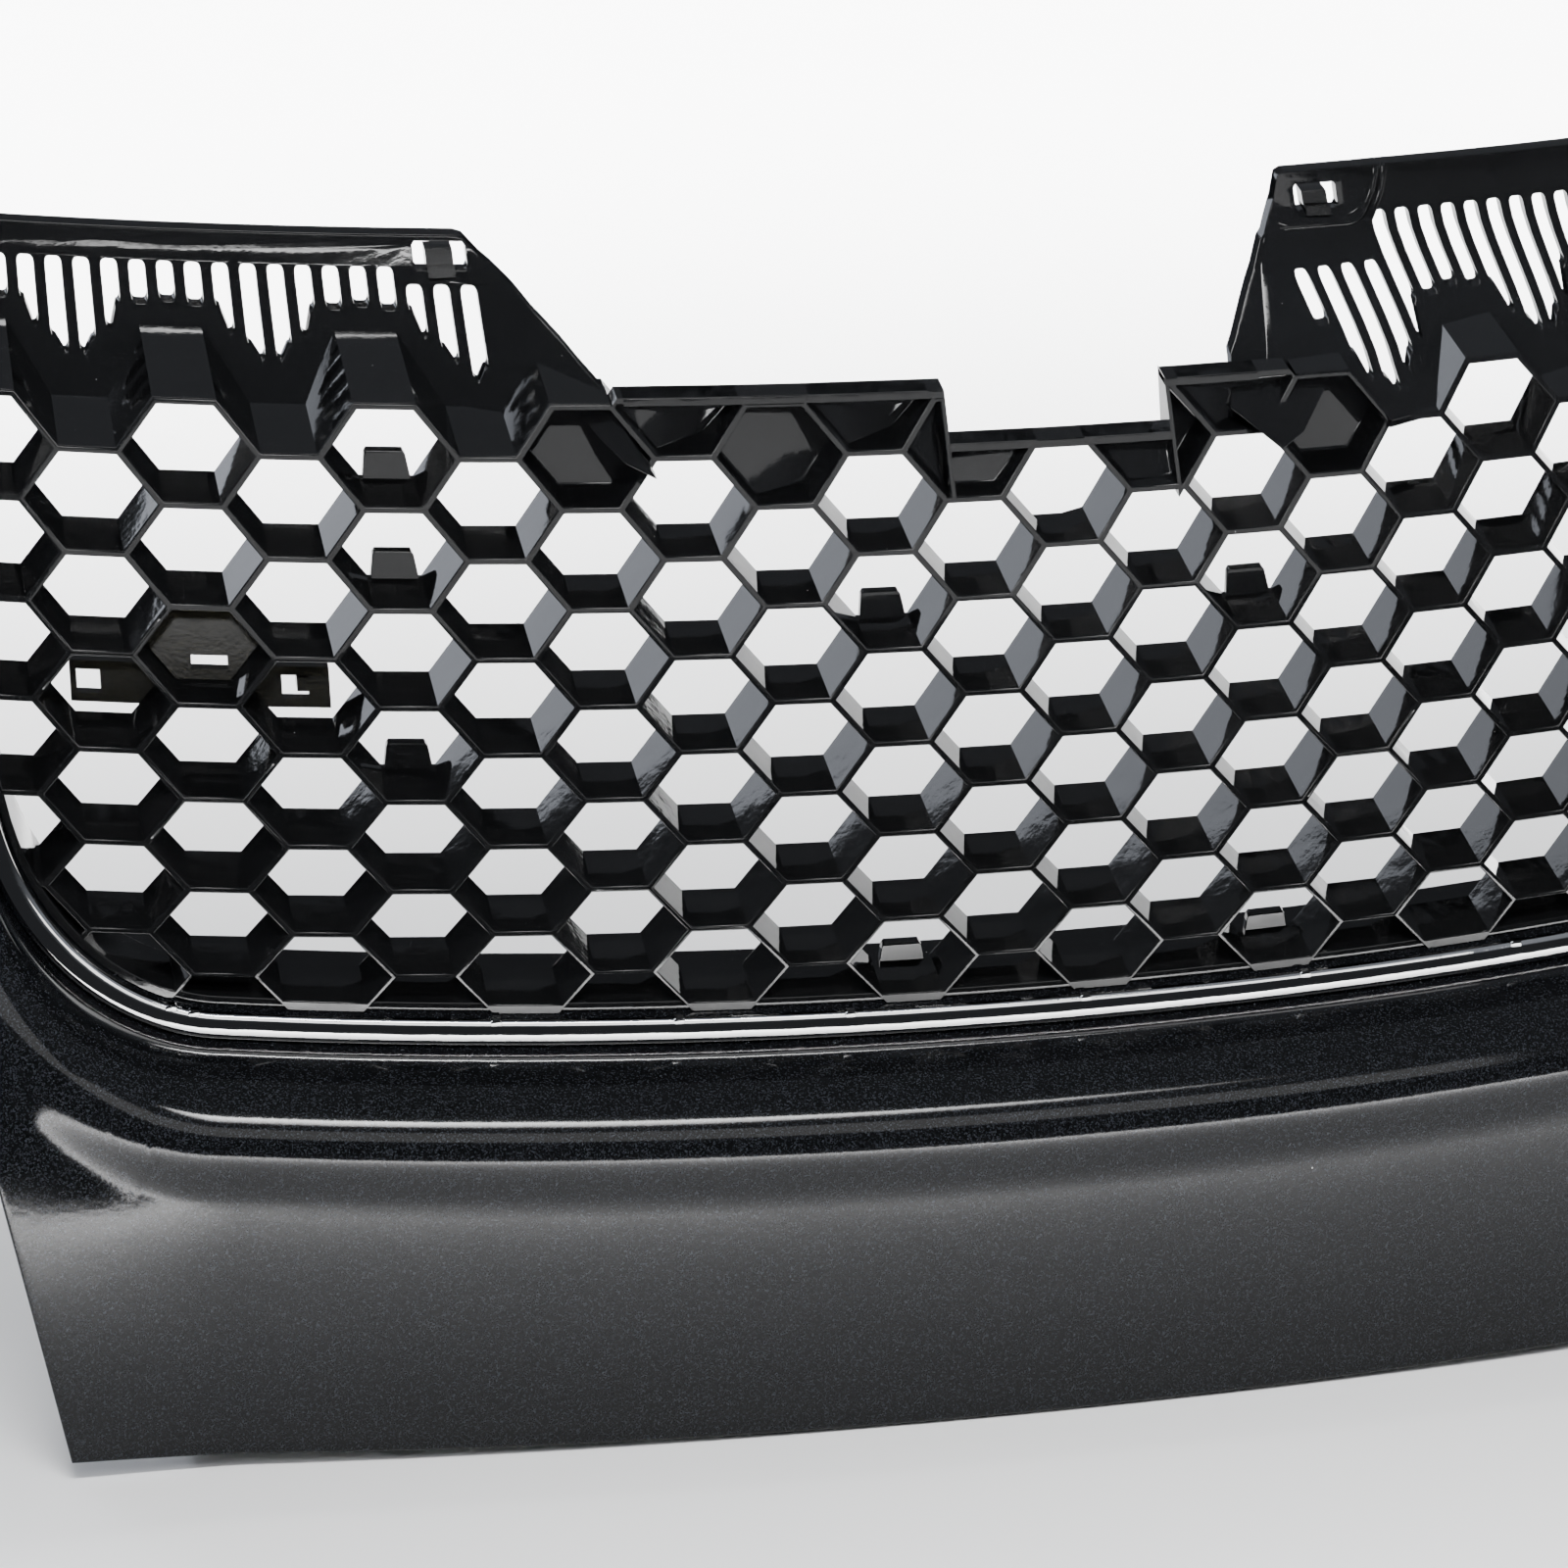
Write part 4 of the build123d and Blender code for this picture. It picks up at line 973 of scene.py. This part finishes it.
studio = dict(low=0.03, high=0.3, tint=(0.85, 0.9, 1.0), floorRear=800.0, floorFront=1150.0, beam=60.0,
              wall=120.0, frontTop=24.0, left=9.0, leftRear=26.0, right=5.0, backdrop=5.2, backdropTop=1.3)
angle = np.linspace(0, pi / 2, 10)
bend, sunk = 0.5, 0.0005
profile = [(-7.0, -sunk), (studio["backdrop"] - bend, -sunk)]
profile += [(studio["backdrop"] - bend + bend * sin(a), bend - bend * cos(a) - sunk) for a in angle[1:]]
profile += [(studio["backdrop"], studio["backdropTop"])]
y, z = np.array(profile).T
x = np.array([-8.0, 8.0])
wide = (2, len(y))
points = np.stack([np.broadcast_to(x[:, None], wide), np.broadcast_to(y, wide), np.broadcast_to(z, wide)], -1)
floorMesh = bpy.data.meshes.new("floor")
floorMesh.from_pydata(points.reshape(-1, 3), [], gridFaces(2, len(y)))
floorMesh.polygons.foreach_set("use_smooth", np.ones(len(floorMesh.polygons), bool))
floor = bpy.data.objects.new("floor", floorMesh)
bpy.context.scene.collection.objects.link(floor)
f = Finish("pale floor")
f.feed("Base Color", f.blend(f.noise(3, 2.0), gray(0.9), gray(0.93)))
f.feed("Roughness", 0.6 + 0.1 * f.noise(20, 2.0))
floorMesh.materials.append(f.material)


def softbox(name, place, target, size, power, color=(1, 1, 1), beam=180.0):
    lamp = bpy.data.lights.new(name, "AREA")
    lamp.shape, lamp.size, lamp.size_y, lamp.energy, lamp.color = "RECTANGLE", size[0], size[1], power, color
    lamp.spread = radians(beam)
    aim = (Vector(target) - Vector(place)).to_track_quat("-Z", "Y").to_matrix().to_4x4()
    holder = bpy.data.objects.new(name, lamp)
    holder.matrix_world = Matrix.Translation(place) @ aim
    bpy.context.scene.collection.objects.link(holder)


# two narrow-beam panels light the floor and stay out of the gloss; softboxes make the highlights
softbox("floorRear", (0.3, 3.0, 3.0), (0.3, 3.001, 0), (6.5, 3.6), studio["floorRear"], beam=studio["beam"])
softbox("floorFront", (0.0, -2.3, 3.0), (0.0, -2.301, 0), (5.0, 2.0), studio["floorFront"], beam=studio["beam"])
softbox("wall", (0.5, 3.2, 2.6), (0.5, 5.2, 0.6), (9.0, 0.5), studio["wall"], beam=90.0)
softbox("frontTop", (0.3, -2.4, 2.3), (0, 0, 0.2), (2.8, 1.1), studio["frontTop"])
softbox("left", (-2.4, -0.4, 1.0), (0, 0, 0.2), (1.2, 1.2), studio["left"], studio["tint"])
softbox("right", (2.4, -0.2, 0.8), (0, 0, 0.2), (0.8, 1.0), studio["right"])
softbox("leftRear", (-1.55, 2.3, 2.2), (0, 0, 0.2), (1.1, 1.5), studio["leftRear"], studio["tint"])
world = bpy.data.worlds.new("studio")
bpy.context.scene.world = world
world.use_nodes = True
sky = world.node_tree
background = sky.nodes["Background"]
background.inputs["Color"].default_value = (*studio["tint"], 1)
direction = sky.nodes.new("ShaderNodeTexCoord")
parts = sky.nodes.new("ShaderNodeSeparateXYZ")
rise = sky.nodes.new("ShaderNodeMapRange")
span = {"From Min": 0.42, "From Max": 0.6, "To Min": studio["low"], "To Max": studio["high"]}
for key, value in span.items():
    rise.inputs[key].default_value = value
sky.links.new(direction.outputs["Generated"], parts.inputs[0])
sky.links.new(parts.outputs["Z"], rise.inputs["Value"])
sky.links.new(rise.outputs["Result"], background.inputs["Strength"])
